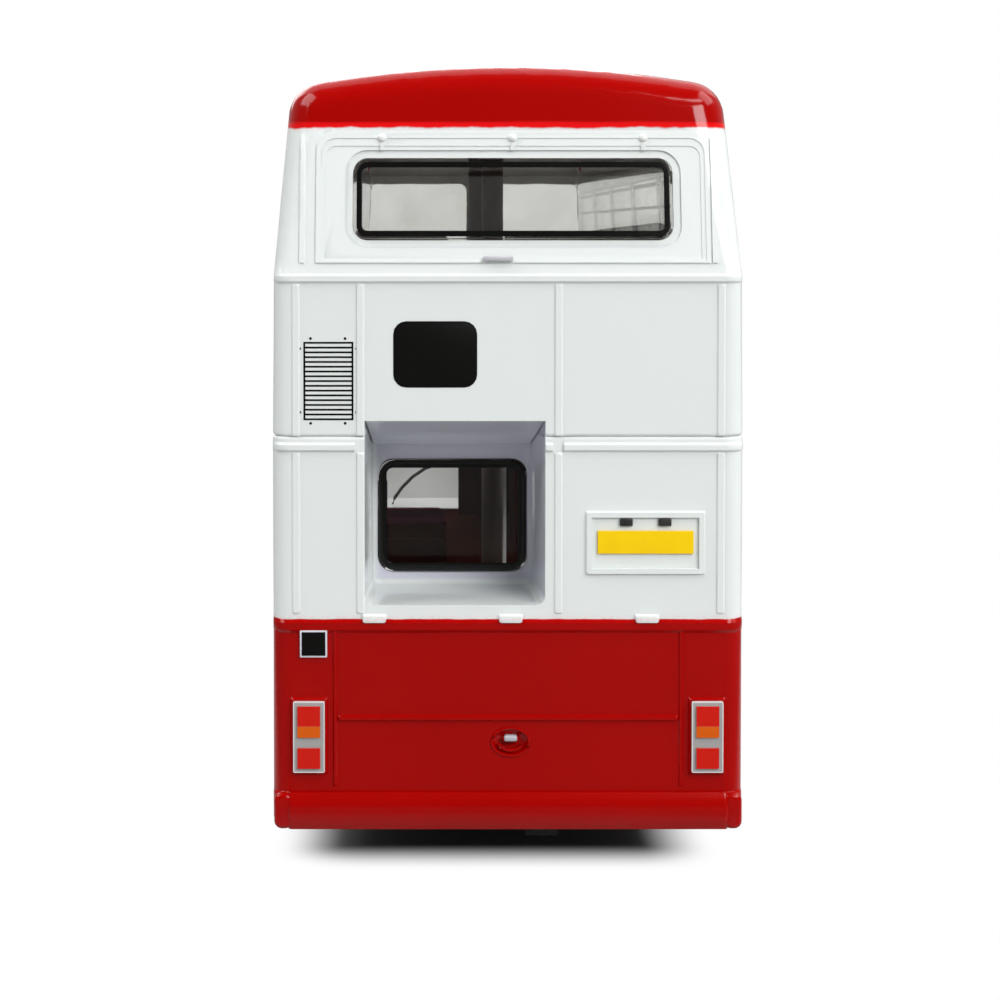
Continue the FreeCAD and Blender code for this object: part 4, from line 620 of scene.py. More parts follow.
MOULDED = (
    Moulded("black_rim", linear(15, 15, 14), linear(34, 33, 31), 0.2, coat=0.3, shine=0.15),
    Moulded("seat_brown", linear(72, 56, 50), linear(110, 92, 84), 0.5, grain=0.00002, shine=0.2),
    Moulded("base_black", linear(26, 26, 27), linear(60, 60, 62), 0.5, grain=0.00002, shine=0.2),
    Moulded("steel", linear(170, 170, 168), linear(220, 220, 218), 0.3, metallic=1.0, grain_scale=9000.0),
    Moulded("tyre_black", linear(30, 30, 31), linear(66, 65, 64), 0.6, grain=0.00001, grain_scale=7000.0),
    Moulded("hub_silver", linear(168, 168, 170), linear(215, 215, 216), 0.38, metallic=0.6),
    Moulded("headlamp_silver", linear(198, 200, 204), linear(235, 235, 238), 0.2, metallic=0.7,
            coat=0.8),
    Moulded("indicator_orange", linear(226, 108, 20), linear(244, 160, 70), 0.25, coat=0.7),
    Moulded("plate_yellow", linear(255, 214, 12), linear(236, 190, 20), 0.35, variation=0.04, shine=0.12),
    Moulded("plate_white", linear(228, 229, 224), linear(190, 190, 186), 0.35, coat=0.3, variation=0.05),
    Moulded("display_black", linear(14, 14, 14), linear(50, 50, 50), 0.12, coat=0.8),
    Moulded("trim_black", linear(24, 24, 24), linear(80, 80, 78), 0.4),
    Moulded("trim_grey", linear(128, 130, 134), linear(190, 190, 192), 0.35, metallic=0.3),
    Moulded("ink_black", linear(18, 18, 17), linear(30, 30, 30), 0.3, grain=0.000001, variation=0.1,
            shine=0.1),
    Moulded("handle_grey", linear(184, 184, 190), linear(220, 220, 224), 0.3, shine=0.3),
    Moulded("ink_pale", linear(214, 214, 222), linear(230, 230, 235), 0.3, grain=0.000001, variation=0.05),
    Moulded("line_dark", linear(96, 60, 62), linear(90, 60, 60), 0.5, grain=0.000001),
    Moulded("steel_bar", linear(190, 190, 188), linear(225, 225, 224), 0.25, metallic=0.9),
    Moulded("headlamp_glass", linear(225, 228, 232), linear(240, 240, 242), 0.12, coat=1.0),
    Moulded("mirror_bright", linear(205, 208, 212), linear(220, 222, 225), 0.06, grain=0.0000005,
            metallic=1.0),
    Moulded("saloon_maroon", linear(50, 20, 13), linear(70, 36, 27), 0.7, grain=0.00002, shine=0.0,
            band=(16.4 * MM, 18.4 * MM), band_colour=linear(104, 46, 68)),
    Moulded("lining_white", linear(246, 246, 244), linear(250, 250, 248), 0.5, variation=0.03, shine=0.1),
    Moulded("door_grey", linear(196, 200, 201), linear(150, 152, 154), 0.32, coat=0.4, variation=0.08),
)


@dataclass
class Finishes:
    """Every finish, built once and kept by name."""

    made: dict[str, bpy.types.Material] = field(default_factory=dict)
    own: dict[str, str] = field(default_factory=lambda: {
        "lower_saloon": "saloon_maroon", "rear_door_handle": "handle_grey",
        "lower_glazing": "thin_clear", "upper_glazing": "smoked_clear",
    })

    def build(self) -> None:
        """Builds all the finishes."""
        Shade.groups = SharedGroups()
        clear = (ClearPlastic(), ClearPlastic("thin_clear", bend=1.2),
                 ClearPlastic("smoked_clear", tint=linear(199, 200, 193)))
        for finish in (BodyPaint(), *clear, *MOULDED):
            self.made[finish.name] = finish.material()
        for side in ("left", "right"):
            node = f"rear_{side}_lamp"
            self.made[node] = LampStack(f"lens_stack_{side}", node).material()

    def of(self, node: str, slot: str) -> bpy.types.Material:
        """Finds the finish of a node.

        Args:
            node: The node's name.
            slot: Its material slot.

        Returns:
            Its own finish if it has one, or its slot's.
        """
        return self.made.get(self.own.get(node, node)) or self.made[slot]

    def dress_nodes(self, record: dict) -> None:
        """Gives each carried-over node the finish of its slot.

        Args:
            record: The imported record.
        """
        for row in record["subparts"]:
            node, slot = row["node"], row["material_slot"]
            material = self.of(node, slot)
            piece = frame["nodes"][node]
            if not piece.material_slots:
                piece.data.materials.append(None)
            for place in piece.material_slots:
                place.link = "OBJECT"
                place.material = material
            LOG.info("dressed %s in %s", node, material.name)


# ---------------------------------------------------------------- mesh building


class Side(Enum):
    """An upright side of the bus: which axis it faces along, and which way."""

    REAR = (1, -1)
    FRONT = (1, 1)
    LEFT = (0, -1)
    RIGHT = (0, 1)

    def point(self, u: float, v: float, out: float) -> Vector:
        """Places a point on this side.

        Args:
            u: Its place along the side, on the bus's own X or Y.
            v: Its height.
            out: Its distance from the bus's middle plane.

        Returns:
            The point, in the units given.
        """
        axis, sign = self.value
        spot = [u, u, v]
        spot[axis] = sign * out
        return Vector(spot)


@dataclass(frozen=True)
class Oblong:
    """A rectangle with round corners, in millimetres."""

    left: float
    right: float
    low: float
    high: float
    corner: float = 0.1

    def inset(self, by: float) -> "Oblong":
        """Makes it smaller all round.

        Args:
            by: How much, on each side.

        Returns:
            The smaller oblong.
        """
        corner = max(self.corner - by, 0.02)
        return Oblong(self.left + by, self.right - by, self.low + by, self.high - by, corner)

    def outline(self, steps: int = 4) -> list[tuple[float, float]]:
        """Lists its outline.

        Args:
            steps: Faces at each corner.

        Returns:
            Points anticlockwise from the right-hand end of the lower edge.
        """
        r = self.corner
        middles = (
            (self.right - r, self.low + r), (self.right - r, self.high - r),
            (self.left + r, self.high - r), (self.left + r, self.low + r),
        )
        points = []
        for quarter, (u, v) in enumerate(middles):
            for step in range(steps + 1):
                turn = math.radians(90 * (quarter - 1) + 90 * step / steps)
                points.append((u + r * math.cos(turn), v + r * math.sin(turn)))
        return points


class Form:
    """A mesh under construction, in millimetres."""

    MERGE = 1e-7
    SHARP = math.radians(35)

    def __init__(self) -> None:
        """Starts an empty form."""
        self.points: list[Vector] = []
        self.faces: list[tuple[int, ...]] = []

    def stack(self, rings: list[list[Vector]], closed: bool = False, capped: bool = True) -> None:
        """Joins rings of points into a skin.

        Args:
            rings: Rings of as many points each.
            closed: Whether the last ring joins the first.
            capped: Whether both ends get a face, if they aren't joined.
        """
        count, first = len(rings[0]), len(self.points)
        for ring in rings:
            self.points += ring
        last = len(rings) if closed else len(rings) - 1
        for step in range(last):
            a, b = first + step * count, first + (step + 1) % len(rings) * count
            for n in range(count):
                m = (n + 1) % count
                self.faces.append((a + n, a + m, b + m, b + n))
        if capped and not closed:
            self.faces.append(tuple(range(first, first + count)))
            self.faces.append(tuple(range(first + last * count, first + (last + 1) * count)))

    def plate(self, side: Side, shape: Oblong, back: float, front: float, edge: float = 0.03) -> None:
        """Adds a plate with softened edges.

        Args:
            side: The side that it lies on.
            shape: Its outline.
            back: Its hidden face, from the bus's middle plane.
            front: Its shown face.
            edge: Width of the softened edge.
        """
        edge = min(edge, (front - back) * 0.5)
        rows = ((0.0, back), (0.0, front - edge), (edge * 0.3, front - edge * 0.3), (edge, front))
        self.stack([
            [side.point(u, v, out) for u, v in shape.inset(inset).outline()] for inset, out in rows
        ])

    def printed(self, side: Side, shape: Oblong, face: float, lift: float, edge: float = 0.008) -> None:
        """Adds a thin print on a panel.

        Args:
            side: The side that it lies on.
            shape: Its outline.
            face: The panel's face, from the bus's middle plane.
            lift: How thick it is.
            edge: Width of its softened edge.
        """
        self.plate(side, shape, face - 0.05, face + lift, edge)

    def cushion(self, side: Side, shape: Oblong, back: float, front: float, edge: float) -> None:
        """Adds a block whose front edges are rounded.

        Args:
            side: The face that it stands on.
            shape: Its outline.
            back: How far out its back is.
            front: How far out its front is.
            edge: Radius of its front edges.
        """
        rings = [[side.point(u, v, back) for u, v in shape.outline(6)]]
        for turn in (0, 22.5, 45, 67.5, 90):
            angle = math.radians(turn)
            inset, out = edge * (1 - math.cos(angle)), front - edge * (1 - math.sin(angle))
            rings.append([side.point(u, v, out) for u, v in shape.inset(inset).outline(6)])
        self.stack(rings)

    def rim(self, side: Side, shape: Oblong, wide: float, back: float, front: float) -> None:
        """Adds a rounded rim that runs round an outline.

        Args:
            side: The side that it lies on.
            shape: Its outer outline.
            wide: Its width.
            back: Its hidden face, from the bus's middle plane.
            front: Its shown face.
        """
        soft = min(wide * 0.3, (front - back) * 0.6)
        rows = ((0.0, back), (0.0, front - soft), (soft, front), (wide - soft, front),
                (wide, front - soft), (wide, back))
        self.stack([
            [side.point(u, v, out) for u, v in shape.inset(inset).outline()] for inset, out in rows
        ], closed=True)

    def tube(self, path: list[Vector], radius: float, around: int = 10) -> None:
        """Adds a round bar along a path.

        Args:
            path: Points along its middle.
            radius: Its radius.
            around: Faces around it.
        """
        rings = []
        for n, spot in enumerate(path):
            ahead = (path[min(n + 1, len(path) - 1)] - path[max(n - 1, 0)]).normalized()
            up = Vector((0, 0, 1)) if abs(ahead.z) < 0.9 else Vector((1, 0, 0))
            across = ahead.cross(up).normalized()
            over = across.cross(ahead)
            turns = [2 * math.pi * k / around for k in range(around)]
            rings.append([spot + radius * (math.cos(t) * across + math.sin(t) * over) for t in turns])
        self.stack(rings)

    def turned(self, centre: Vector, axis: Vector, profile: list[tuple[float, float]], around: int,
               capped: bool = True) -> None:
        """Adds a shape turned about an axis.

        Args:
            centre: A point on the axis.
            axis: The axis.
            profile: Its outline as (radius, distance along the axis), from end to end.
            around: Faces around it.
            capped: Whether both ends get a face.
        """
        axis = axis.normalized()
        across = axis.orthogonal().normalized()
        over = axis.cross(across)
        turns = [2 * math.pi * k / around for k in range(around)]
        self.stack([
            [centre + along * axis + r * (math.cos(t) * across + math.sin(t) * over) for t in turns]
            for r, along in profile
        ], capped=capped)

    def mesh(self, name: str) -> bpy.types.Mesh:
        """Closes the form into a mesh.

        Args:
            name: The mesh's name.

        Returns:
            The mesh in metres, merged, facing outwards, smooth with sharp edges kept.
        """
        mesh = bpy.data.meshes.new(name)
        mesh.from_pydata([point * MM for point in self.points], [], self.faces)
        work = bmesh.new()
        work.from_mesh(mesh)
        bmesh.ops.remove_doubles(work, verts=work.verts, dist=self.MERGE)
        bmesh.ops.recalc_face_normals(work, faces=work.faces)
        for face in work.faces:
            face.smooth = True
        work.to_mesh(mesh)
        work.free()
        mesh.set_sharp_from_angle(angle=self.SHARP)
        return mesh


def show(mesh: bpy.types.Mesh, material: bpy.types.Material,
         body: str = "root") -> bpy.types.Object:
    """Adds a mesh to the model.

    Args:
        mesh: The finished mesh, which also names the piece.
        material: Its material.
        body: The body that it rides on.

    Returns:
        The piece.
    """
    piece = bpy.data.objects.new(mesh.name, mesh)
    bpy.context.scene.collection.objects.link(piece)
    if material.name not in mesh.materials:
        mesh.materials.clear()
        mesh.materials.append(material)
    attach(piece, body)
    LOG.info("made %s: %d faces", mesh.name, len(mesh.polygons))
    return piece


# ---------------------------------------------------------------- repeats


class Repeat:
    """A Geometry Nodes tree that repeats one shape in a row or round an axis."""

    def __init__(self, name: str, inputs: dict[str, str]) -> None:
        """Starts the tree.

        Args:
            name: The tree's name.
            inputs: The socket type of each named input.
        """
        self.tree = bpy.data.node_groups.new(name, "GeometryNodeTree")
        face = self.tree.interface
        face.new_socket("Shape", in_out="INPUT", socket_type="NodeSocketGeometry")
        self.keys: dict[str, str] = {}
        for label, kind in {**inputs, "Material": "NodeSocketMaterial"}.items():
            self.keys[label] = face.new_socket(label, in_out="INPUT", socket_type=kind).identifier
        face.new_socket("Result", in_out="OUTPUT", socket_type="NodeSocketGeometry")
        self.given = self.tree.nodes.new("NodeGroupInput").outputs
        self.end = self.tree.nodes.new("NodeGroupOutput")

    def add(self, kind: str, links: dict[str, bpy.types.NodeSocket], **settings: object) -> bpy.types.Node:
        """Adds a node.

        Args:
            kind: Its full type.
            links: What feeds its inputs, by name.
            **settings: Its own properties.

        Returns:
            The node.
        """
        node = self.tree.nodes.new(kind)
        for label, value in settings.items():
            setattr(node, label, value)
        for label, source in links.items():
            self.tree.links.new(source, node.inputs[label])
        return node

    def close(self, instances: bpy.types.NodeSocket) -> None:
        """Realizes the instances and gives them the material.

        Args:
            instances: The repeated shape.
        """
        real = self.add("GeometryNodeRealizeInstances", {"Geometry": instances}).outputs[0]
        made = self.add("GeometryNodeSetMaterial", {"Geometry": real, "Material": self.given["Material"]})
        self.tree.links.new(made.outputs[0], self.end.inputs["Result"])

    def grow(self, shape: bpy.types.Mesh, name: str, **values: object) -> bpy.types.Mesh:
        """Repeats a shape.

        Args:
            shape: The mesh to repeat, at its first place.
            name: Name of the result.
            **values: The tree's inputs by name.

        Returns:
            A plain mesh of all the copies.
        """
        holder = bpy.data.objects.new(name, shape)
        bpy.context.scene.collection.objects.link(holder)
        maker = holder.modifiers.new("repeat", "NODES")
        maker.node_group = self.tree
        for label, value in values.items():
            maker[self.keys[label]] = value
        graph = bpy.context.evaluated_depsgraph_get()
        result = bpy.data.meshes.new_from_object(holder.evaluated_get(graph))
        result.name = name
        holder.modifiers.remove(maker)
        bpy.data.objects.remove(holder)
        return result


class Row(Repeat):
    """Copies of a shape in a straight row."""

    def __init__(self) -> None:
        """Builds the tree."""
        super().__init__("Row", {"Count": "NodeSocketInt", "Step": "NodeSocketVector"})
        line = self.add("GeometryNodeMeshLine", {"Count": self.given["Count"], "Offset": self.given["Step"]},
                        mode="OFFSET", count_mode="TOTAL")
        links = {"Points": line.outputs[0], "Instance": self.given["Shape"]}
        self.close(self.add("GeometryNodeInstanceOnPoints", links).outputs[0])

    def up(self, form: Form, name: str, count: int, pitch: float,
           material: bpy.types.Material) -> bpy.types.Mesh:
        """Repeats a form upwards.

        Args:
            form: The lowest copy.
            name: Name of the result.
            count: How many copies.
            pitch: From one copy to the next, in millimetres.
            material: Their material.

        Returns:
            A plain mesh of all the copies.
        """
        step = (0.0, 0.0, pitch * MM)
        return self.grow(form.mesh(name + "_one"), name, Count=count, Step=step, Material=material)


class Wreath(Repeat):
    """Copies of a shape round the axle that runs along X."""

    def __init__(self) -> None:
        """Builds the tree."""
        super().__init__("Wreath", {
            "Count": "NodeSocketInt", "Turn": "NodeSocketFloat", "Centre": "NodeSocketVector",
        })
        line = self.add("GeometryNodeMeshLine", {"Count": self.given["Count"]}, mode="OFFSET")
        line.inputs["Offset"].default_value = (0.0, 0.0, 0.0)
        index = self.add("GeometryNodeInputIndex", {}).outputs[0]
        angle = self.add("ShaderNodeMath", {}, operation="MULTIPLY")
        self.tree.links.new(index, angle.inputs[0])
        self.tree.links.new(self.given["Turn"], angle.inputs[1])
        spin = self.add("ShaderNodeCombineXYZ", {"X": angle.outputs[0]})
        links = {
            "Points": line.outputs[0], "Instance": self.given["Shape"], "Rotation": spin.outputs[0],
        }
        placed = self.add("GeometryNodeInstanceOnPoints", links).outputs[0]
        moved = self.add("GeometryNodeTransform", {"Geometry": placed, "Translation": self.given["Centre"]})
        self.close(moved.outputs[0])


class Scatter(Repeat):
    """Copies of a shape at the points of a second mesh, whose name is given."""

    def __init__(self) -> None:
        """Builds the tree."""
        super().__init__("Scatter", {"Places": "NodeSocketObject"})
        where = self.add("GeometryNodeObjectInfo", {"Object": self.given["Places"]})
        links = {"Points": where.outputs["Geometry"], "Instance": self.given["Shape"]}
        self.close(self.add("GeometryNodeInstanceOnPoints", links).outputs[0])

    def at(self, shape: bpy.types.Mesh, name: str, spots: list[Vector],
           material: bpy.types.Material) -> bpy.types.Mesh:
        """Repeats a shape at given places.

        Args:
            shape: The mesh to repeat, round the origin.
            name: Name of the result.
            spots: Where the copies go, in millimetres.
            material: Their material.

        Returns:
            A plain mesh of all the copies.
        """
        mesh = bpy.data.meshes.new(name + "_places")
        mesh.from_pydata([spot * MM for spot in spots], [], [])
        places = bpy.data.objects.new(name + "_places", mesh)
        bpy.context.scene.collection.objects.link(places)
        result = self.grow(shape, name, Places=places, Material=material)
        bpy.data.objects.remove(places)
        return result


# ---------------------------------------------------------------- castings and mouldings


def millimetres(node: str) -> tuple[Vector, Vector]:
    """Measures a node of the frame.

    Args:
        node: Its name.

    Returns:
        Its lowest and highest corner, in millimetres.
    """
    low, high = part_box(node)
    return low / MM, high / MM


@dataclass(frozen=True)
class Datum:
    """Faces and heights of the castings, in millimetres, from which the trim is placed."""

    rear: float = field(default_factory=lambda: -millimetres("rear_number_plate")[1].y - 0.02)
    front: float = field(default_factory=lambda: millimetres("headlamps")[0].y - 0.02)
    side: float = field(default_factory=lambda: millimetres("lower_body")[1].x)
    seam: float = field(default_factory=lambda: millimetres("lower_body")[1].z)


@dataclass
class Mouldings:
    """Every carried-over shape with its edges softened, as paint and moulding leave them."""

    record: dict
    finishes: Finishes
    ending: str = "_moulding.001"
    merge: float = 0.002 * MM
    flat: float = math.radians(0.3)
    edge_angle: float = math.radians(30)
    soft: dict[str, float] = field(default_factory=lambda: {
        "upper_body": 0.13, "lower_body": 0.13, "upper_glazing": 0.07, "lower_glazing": 0.07,
        "upper_window_seals": 0.05, "lower_window_seals": 0.05, "upper_saloon": 0.12, "lower_saloon": 0.12,
        "chassis": 0.12, "headlamps": 0.05, "front_indicators": 0.05, "plate_lamps": 0.05,
        "front_display": 0.08, "side_display": 0.08, "left_mirror": 0.12, "right_mirror": 0.12,
        "wipers": 0.05, "bonnet_catch": 0.08, "rear_door_handle": 0.09, "front_door": 0.08,
        "exit_door": 0.08, "rear_number_plate": 0.03, "front_number_plate": 0.03,
        "front_left_hub": 0.07, "front_right_hub": 0.07, "rear_left_hub": 0.07, "rear_right_hub": 0.07,
        "front_left_tyre": 0.18, "front_right_tyre": 0.18, "rear_left_tyres": 0.18, "rear_right_tyres": 0.18,
    })

    def soften(self, node: str, width: float) -> bpy.types.Object:
        """Makes a softened copy of a node.

        Args:
            node: The node.
            width: Width of its softened edges, in millimetres.

        Returns:
            The copy, which replaces the node.
        """
        work = bmesh.new()
        work.from_mesh(frame["nodes"][node].data)
        bmesh.ops.remove_doubles(work, verts=work.verts, dist=self.merge)
        bmesh.ops.dissolve_limit(
            work, angle_limit=self.flat, verts=work.verts, edges=work.edges, delimit={"NORMAL"})
        clean = bpy.data.meshes.new(node + self.ending)
        for face in work.faces:
            face.smooth = True
            face.material_index = 0
        work.to_mesh(clean)
        work.free()
        row = next(row for row in self.record["subparts"] if row["node"] == node)
        bodies = self.record["behaviour"]["bodies"]
        body = next(name for name, nodes in bodies.items() if node in nodes)
        piece = show(clean, self.finishes.of(node, row["material_slot"]), body)
        bevel = piece.modifiers.new("soft_edges", "BEVEL")
        bevel.width, bevel.segments, bevel.limit_method = width * MM, 2, "ANGLE"
        bevel.angle_limit, bevel.use_clamp_overlap = self.edge_angle, True
        even = piece.modifiers.new("even_normals", "WEIGHTED_NORMAL")
        even.weight, even.keep_sharp = 50, True
        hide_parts(node)
        return piece

    def build(self) -> None:
        """Softens every listed node."""
        for node, width in self.soft.items():
            self.soften(node, width)


# ---------------------------------------------------------------- printed and fitted trim


@dataclass
class Trim:
    """One set of trim: the faces that it's placed from, the finishes, and a way to fit a piece."""

    at: Datum
    finishes: Finishes

    def fit(self, form: Form, name: str, finish: str, slot: str, body: str = "root") -> None:
        """Fits one piece.

        Args:
            form: Its shape.
            name: Its name.
            finish: Its finish.
            slot: The record's material slot; not used.
            body: The body that it rides on.
        """
        show(form.mesh(name), self.finishes.made[finish], body)


@dataclass
class RearPrint(Trim):
    """What is printed on the rear castings: a vent, a blank route panel and a blank notice plate."""

    row: Row
    scatter: Scatter
    ink: float = 0.02
    vent: tuple[float, float] = (-14.31, -10.82)
    vent_rise: tuple[float, float] = (1.15, 6.63)
    vent_bars: int = 17
    line: float = 0.13
    dot: float = 0.1
    dots: tuple[tuple[tuple[float, float], tuple[float, float]], ...] = (
        ((0.5, -0.58), (-0.22, 0.23)), ((-0.26, 0.22), (0.55, -0.48)),
    )
    dot_tip: float = 0.7
    plate_back: float = 0.1
    panel: Oblong = Oblong(-8.04, -2.18, 35.33, 39.97, 0.9)
    notice: Oblong = Oblong(-14.58, -12.68, 16.42, 18.32, 0.06)
    notice_border: float = 0.12

    def build(self) -> None:
        """Prints it all."""
        self.grille()
        self.rivets()
        for name, shape, finish, coats in (
            ("blank_route_panel", self.panel, "ink_black", 1.5),
            ("blank_notice_border", self.notice, "ink_pale", 11.0),
            ("blank_notice", self.notice.inset(self.notice_border), "ink_black", 12.0),
        ):
            form = Form()
            face = self.at.rear
            form.plate(Side.REAR, shape, face - self.plate_back, face + self.ink * coats, 0.01)
            self.fit(form, name, finish, "trim_black")

    def grille(self) -> None:
        """Prints the vent's bars and its two uprights."""
        (left, right), seam = self.vent, self.at.seam
        low, high = seam + self.vent_rise[0], seam + self.vent_rise[1]
        pitch = (high - low - self.line) / (self.vent_bars - 1)
        black = self.finishes.made["ink_black"]
        bar, post = Form(), Form()
        bar.printed(Side.REAR, Oblong(left, right, low, low + self.line, 0.03), self.at.rear, self.ink)
        show(self.row.up(bar, "vent_bars", self.vent_bars, pitch, black), black)
        for x in (left, right - self.line):
            post.printed(Side.REAR, Oblong(x, x + self.line, low, high, 0.03), self.at.rear, self.ink)
        self.fit(post, "vent_uprights", "ink_black", "trim_black")

    def rivets(self) -> None:
        """Prints the eight dots round the vent."""
        (left, right), seam = self.vent, self.at.seam
        low, high = seam + self.vent_rise[0], seam + self.vent_rise[1]
        places = [Vector((x, -self.at.rear, z)) for (first, last), (under, over) in self.dots
                  for x in (left + first, right + last) for z in (low + under, high + over)]
        dot = Form()
        profile = [(self.dot, -0.05), (self.dot, self.ink * 0.5), (self.dot * self.dot_tip, self.ink)]
        dot.turned(Vector((0, 0, 0)), Vector((0, -1, 0)), profile, 12)
        black = self.finishes.made["ink_black"]
        show(self.scatter.at(dot.mesh("vent_dot"), "vent_rivets", places, black), black)


@dataclass
class RearCastings(Trim):
    """Fine forms of the castings: bumper ends, recess cheek tops, and the catch's dish rim and its grip,
    whose pale grey is a painted glint.
    """

    bumper_end: Oblong = Oblong(15.1, 16.42, 4.32, 6.85, 0.55)
    end_back: float = 0.6
    end_out: float = 0.42
    end_edge: float = 0.34
    mouth: tuple[float, float] = (-10.05, 2.6)
    draft: tuple[float, float] = (0.3 / 8, -0.68 / 8)
    cheek: tuple[tuple[float, float], ...] = ((0.7, 31.7), (0.7, 33.0), (3.9, 31.95), (3.9, 31.7))
    cheek_thick: float = 0.4
    dish: tuple[float, float] = (1.32, 0.98)
    dish_drop: float = 0.2
    arcs: tuple[tuple[float, float, float, float], ...] = (
        (1.0, 0.0, 360.0, 0.02), (0.62, 190.0, 350.0, 0.05),
    )
    arc_steps: int = 28
    lip: float = 0.1
    grip: tuple[float, float, float] = (0.46, -0.14, 0.26)
    grip_back: float = 0.3
    grip_edge: float = 0.15

    def build(self) -> None:
        """Adds them all."""
        for form, name, finish in (
            (self.bumper_ends(), "bumper_ends", "body_paint"),
            (self.cheeks(), "recess_cheek_tops", "body_paint"),
            (self.catch_rim(), "catch_rim", "body_paint"),
            # The grip's pale grey finish is a painted glint.
            (self.catch_grip(), "catch_grip", "handle_grey"),
        ):
            self.fit(form, name, finish, "body_paint")

    def bumper_ends(self) -> Form:
        """Makes the rounded lump at each end of both bumpers.

        Returns:
            The form.
        """
        form, shape, face = Form(), self.bumper_end, self.at.rear
        for side in (Side.REAR, Side.FRONT):
            for left, right in ((shape.left, shape.right), (-shape.right, -shape.left)):
                end = Oblong(left, right, shape.low, shape.high, shape.corner)
                form.cushion(side, end, face - self.end_back, face + self.end_out, self.end_edge)
        return form

    def cheeks(self) -> Form:
        """Makes the tops of the recess cheeks, under its sloping ceiling.

        Returns:
            The form.
        """
        form = Form()
        for edge, draft, way in zip(self.mouth, self.draft, (-1, 1)):
            form.stack([
                [Vector((edge + draft * deep + way * out, deep - self.at.rear, z)) for deep, z in self.cheek]
                for out in (0.0, self.cheek_thick)
            ])
        return form

    def catch_rim(self) -> Form:
        """Makes the raised rim of the dish and the lip under its handle.

        Returns:
            The form.
        """
        low, high = millimetres("bonnet_catch")
        x, z = (low.x + high.x) / 2, (low.z + high.z) / 2 - self.dish_drop
        wide, tall = self.dish
        form = Form()
        for reach, start, stop, out in self.arcs:
            path = []
            for step in range(self.arc_steps + 1):
                angle = math.radians(start + (stop - start) * step / self.arc_steps)
                path.append(Vector((x + reach * wide * math.cos(angle), -self.at.rear - out,
                                    z + reach * tall * math.sin(angle))))
            form.tube(path, self.lip)
        return form

    def catch_grip(self) -> Form:
        """Makes the grip of the catch, pale grey as a painted glint.

        Returns:
            The form.
        """
        low, high = millimetres("bonnet_catch")
        x, z = (low.x + high.x) / 2, (low.z + high.z) / 2
        half, foot, top = self.grip
        form = Form()
        shape = Oblong(x - half, x + half, z + foot, z + top, self.grip_edge)
        form.cushion(Side.REAR, shape, self.at.rear - self.grip_back, self.lip - low.y, self.grip_edge)
        return form


@dataclass
class WindowBars(Trim):
    """The bars across the long side windows, and the outer lip of the lower rear window's rubber."""

    merge: float = 0.002 * MM
    share: float = 0.62
    tall: float = 0.26
    end: float = 0.2
    thick: float = 0.35
    sunk: float = 0.02
    lean: float = 0.3
    rearmost: float = -50.0
    lip: float = 0.2
    lip_wide: float = 0.34
    lip_corner: float = 1.1
    lip_depth: tuple[float, float] = (-0.2, 0.06)
    long: float = 9.0
    deep: float = 5.0
    lights: tuple[str, ...] = ("upper_window_seals", "lower_window_seals")

    def rings(self, node: str) -> list[tuple[Vector, Vector]]:
        """Measures each rubber of a node.

        Args:
            node: The node.

        Returns:
            Lowest and highest corner of each closed piece, in millimetres, from left to right.
        """
        work = bmesh.new()
        work.from_mesh(frame["nodes"][node].data)
        bmesh.ops.remove_doubles(work, verts=work.verts, dist=self.merge)
        left, boxes = set(work.verts), []
        while left:
            island, ahead = set(), [left.pop()]
            while ahead:
                vert = ahead.pop()
                island.add(vert)
                near = {edge.other_vert(vert) for edge in vert.link_edges} & left
                left -= near
                ahead += near
            low = Vector([min(v.co[k] for v in island) for k in range(3)]) / MM
            high = Vector([max(v.co[k] for v in island) for k in range(3)]) / MM
            boxes.append((low, high))
        work.free()
        return sorted(boxes, key=lambda box: tuple(box[0]))

    def build(self) -> None:
        """Fits a bar to each long side window, and the outer lip to the lower rear one."""
        form = Form()
        for low, high in self.rings("lower_window_seals"):
            if high.y < self.rearmost:
                shape = Oblong(low.x, high.x, low.z, high.z, self.lip_corner).inset(-self.lip)
                back, front = self.lip_depth
                form.rim(Side.REAR, shape, self.lip_wide, back - low.y, front - low.y)
        self.fit(form, "rear_window_lip", "black_rim", "black_rim")
        for node in self.lights:
            form = Form()
            for low, high in self.rings(node):
                if high.y - low.y < self.long or high.x - low.x > self.deep:
                    continue
                side = Side.RIGHT if low.x > 0 else Side.LEFT
                z = low.z + self.share * (high.z - low.z)
                inner, outer = sorted((abs(low.x), abs(high.x)))
                face = outer + (inner - outer) * self.share if outer - inner > self.lean else outer
                bar = Oblong(low.y + self.end, high.y - self.end, z, z + self.tall, 0.05)
                form.plate(side, bar, face - self.thick, face - self.sunk, 0.04)
            self.fit(form, node.replace("window_seals", "light_bars"), "black_rim", "black_rim")


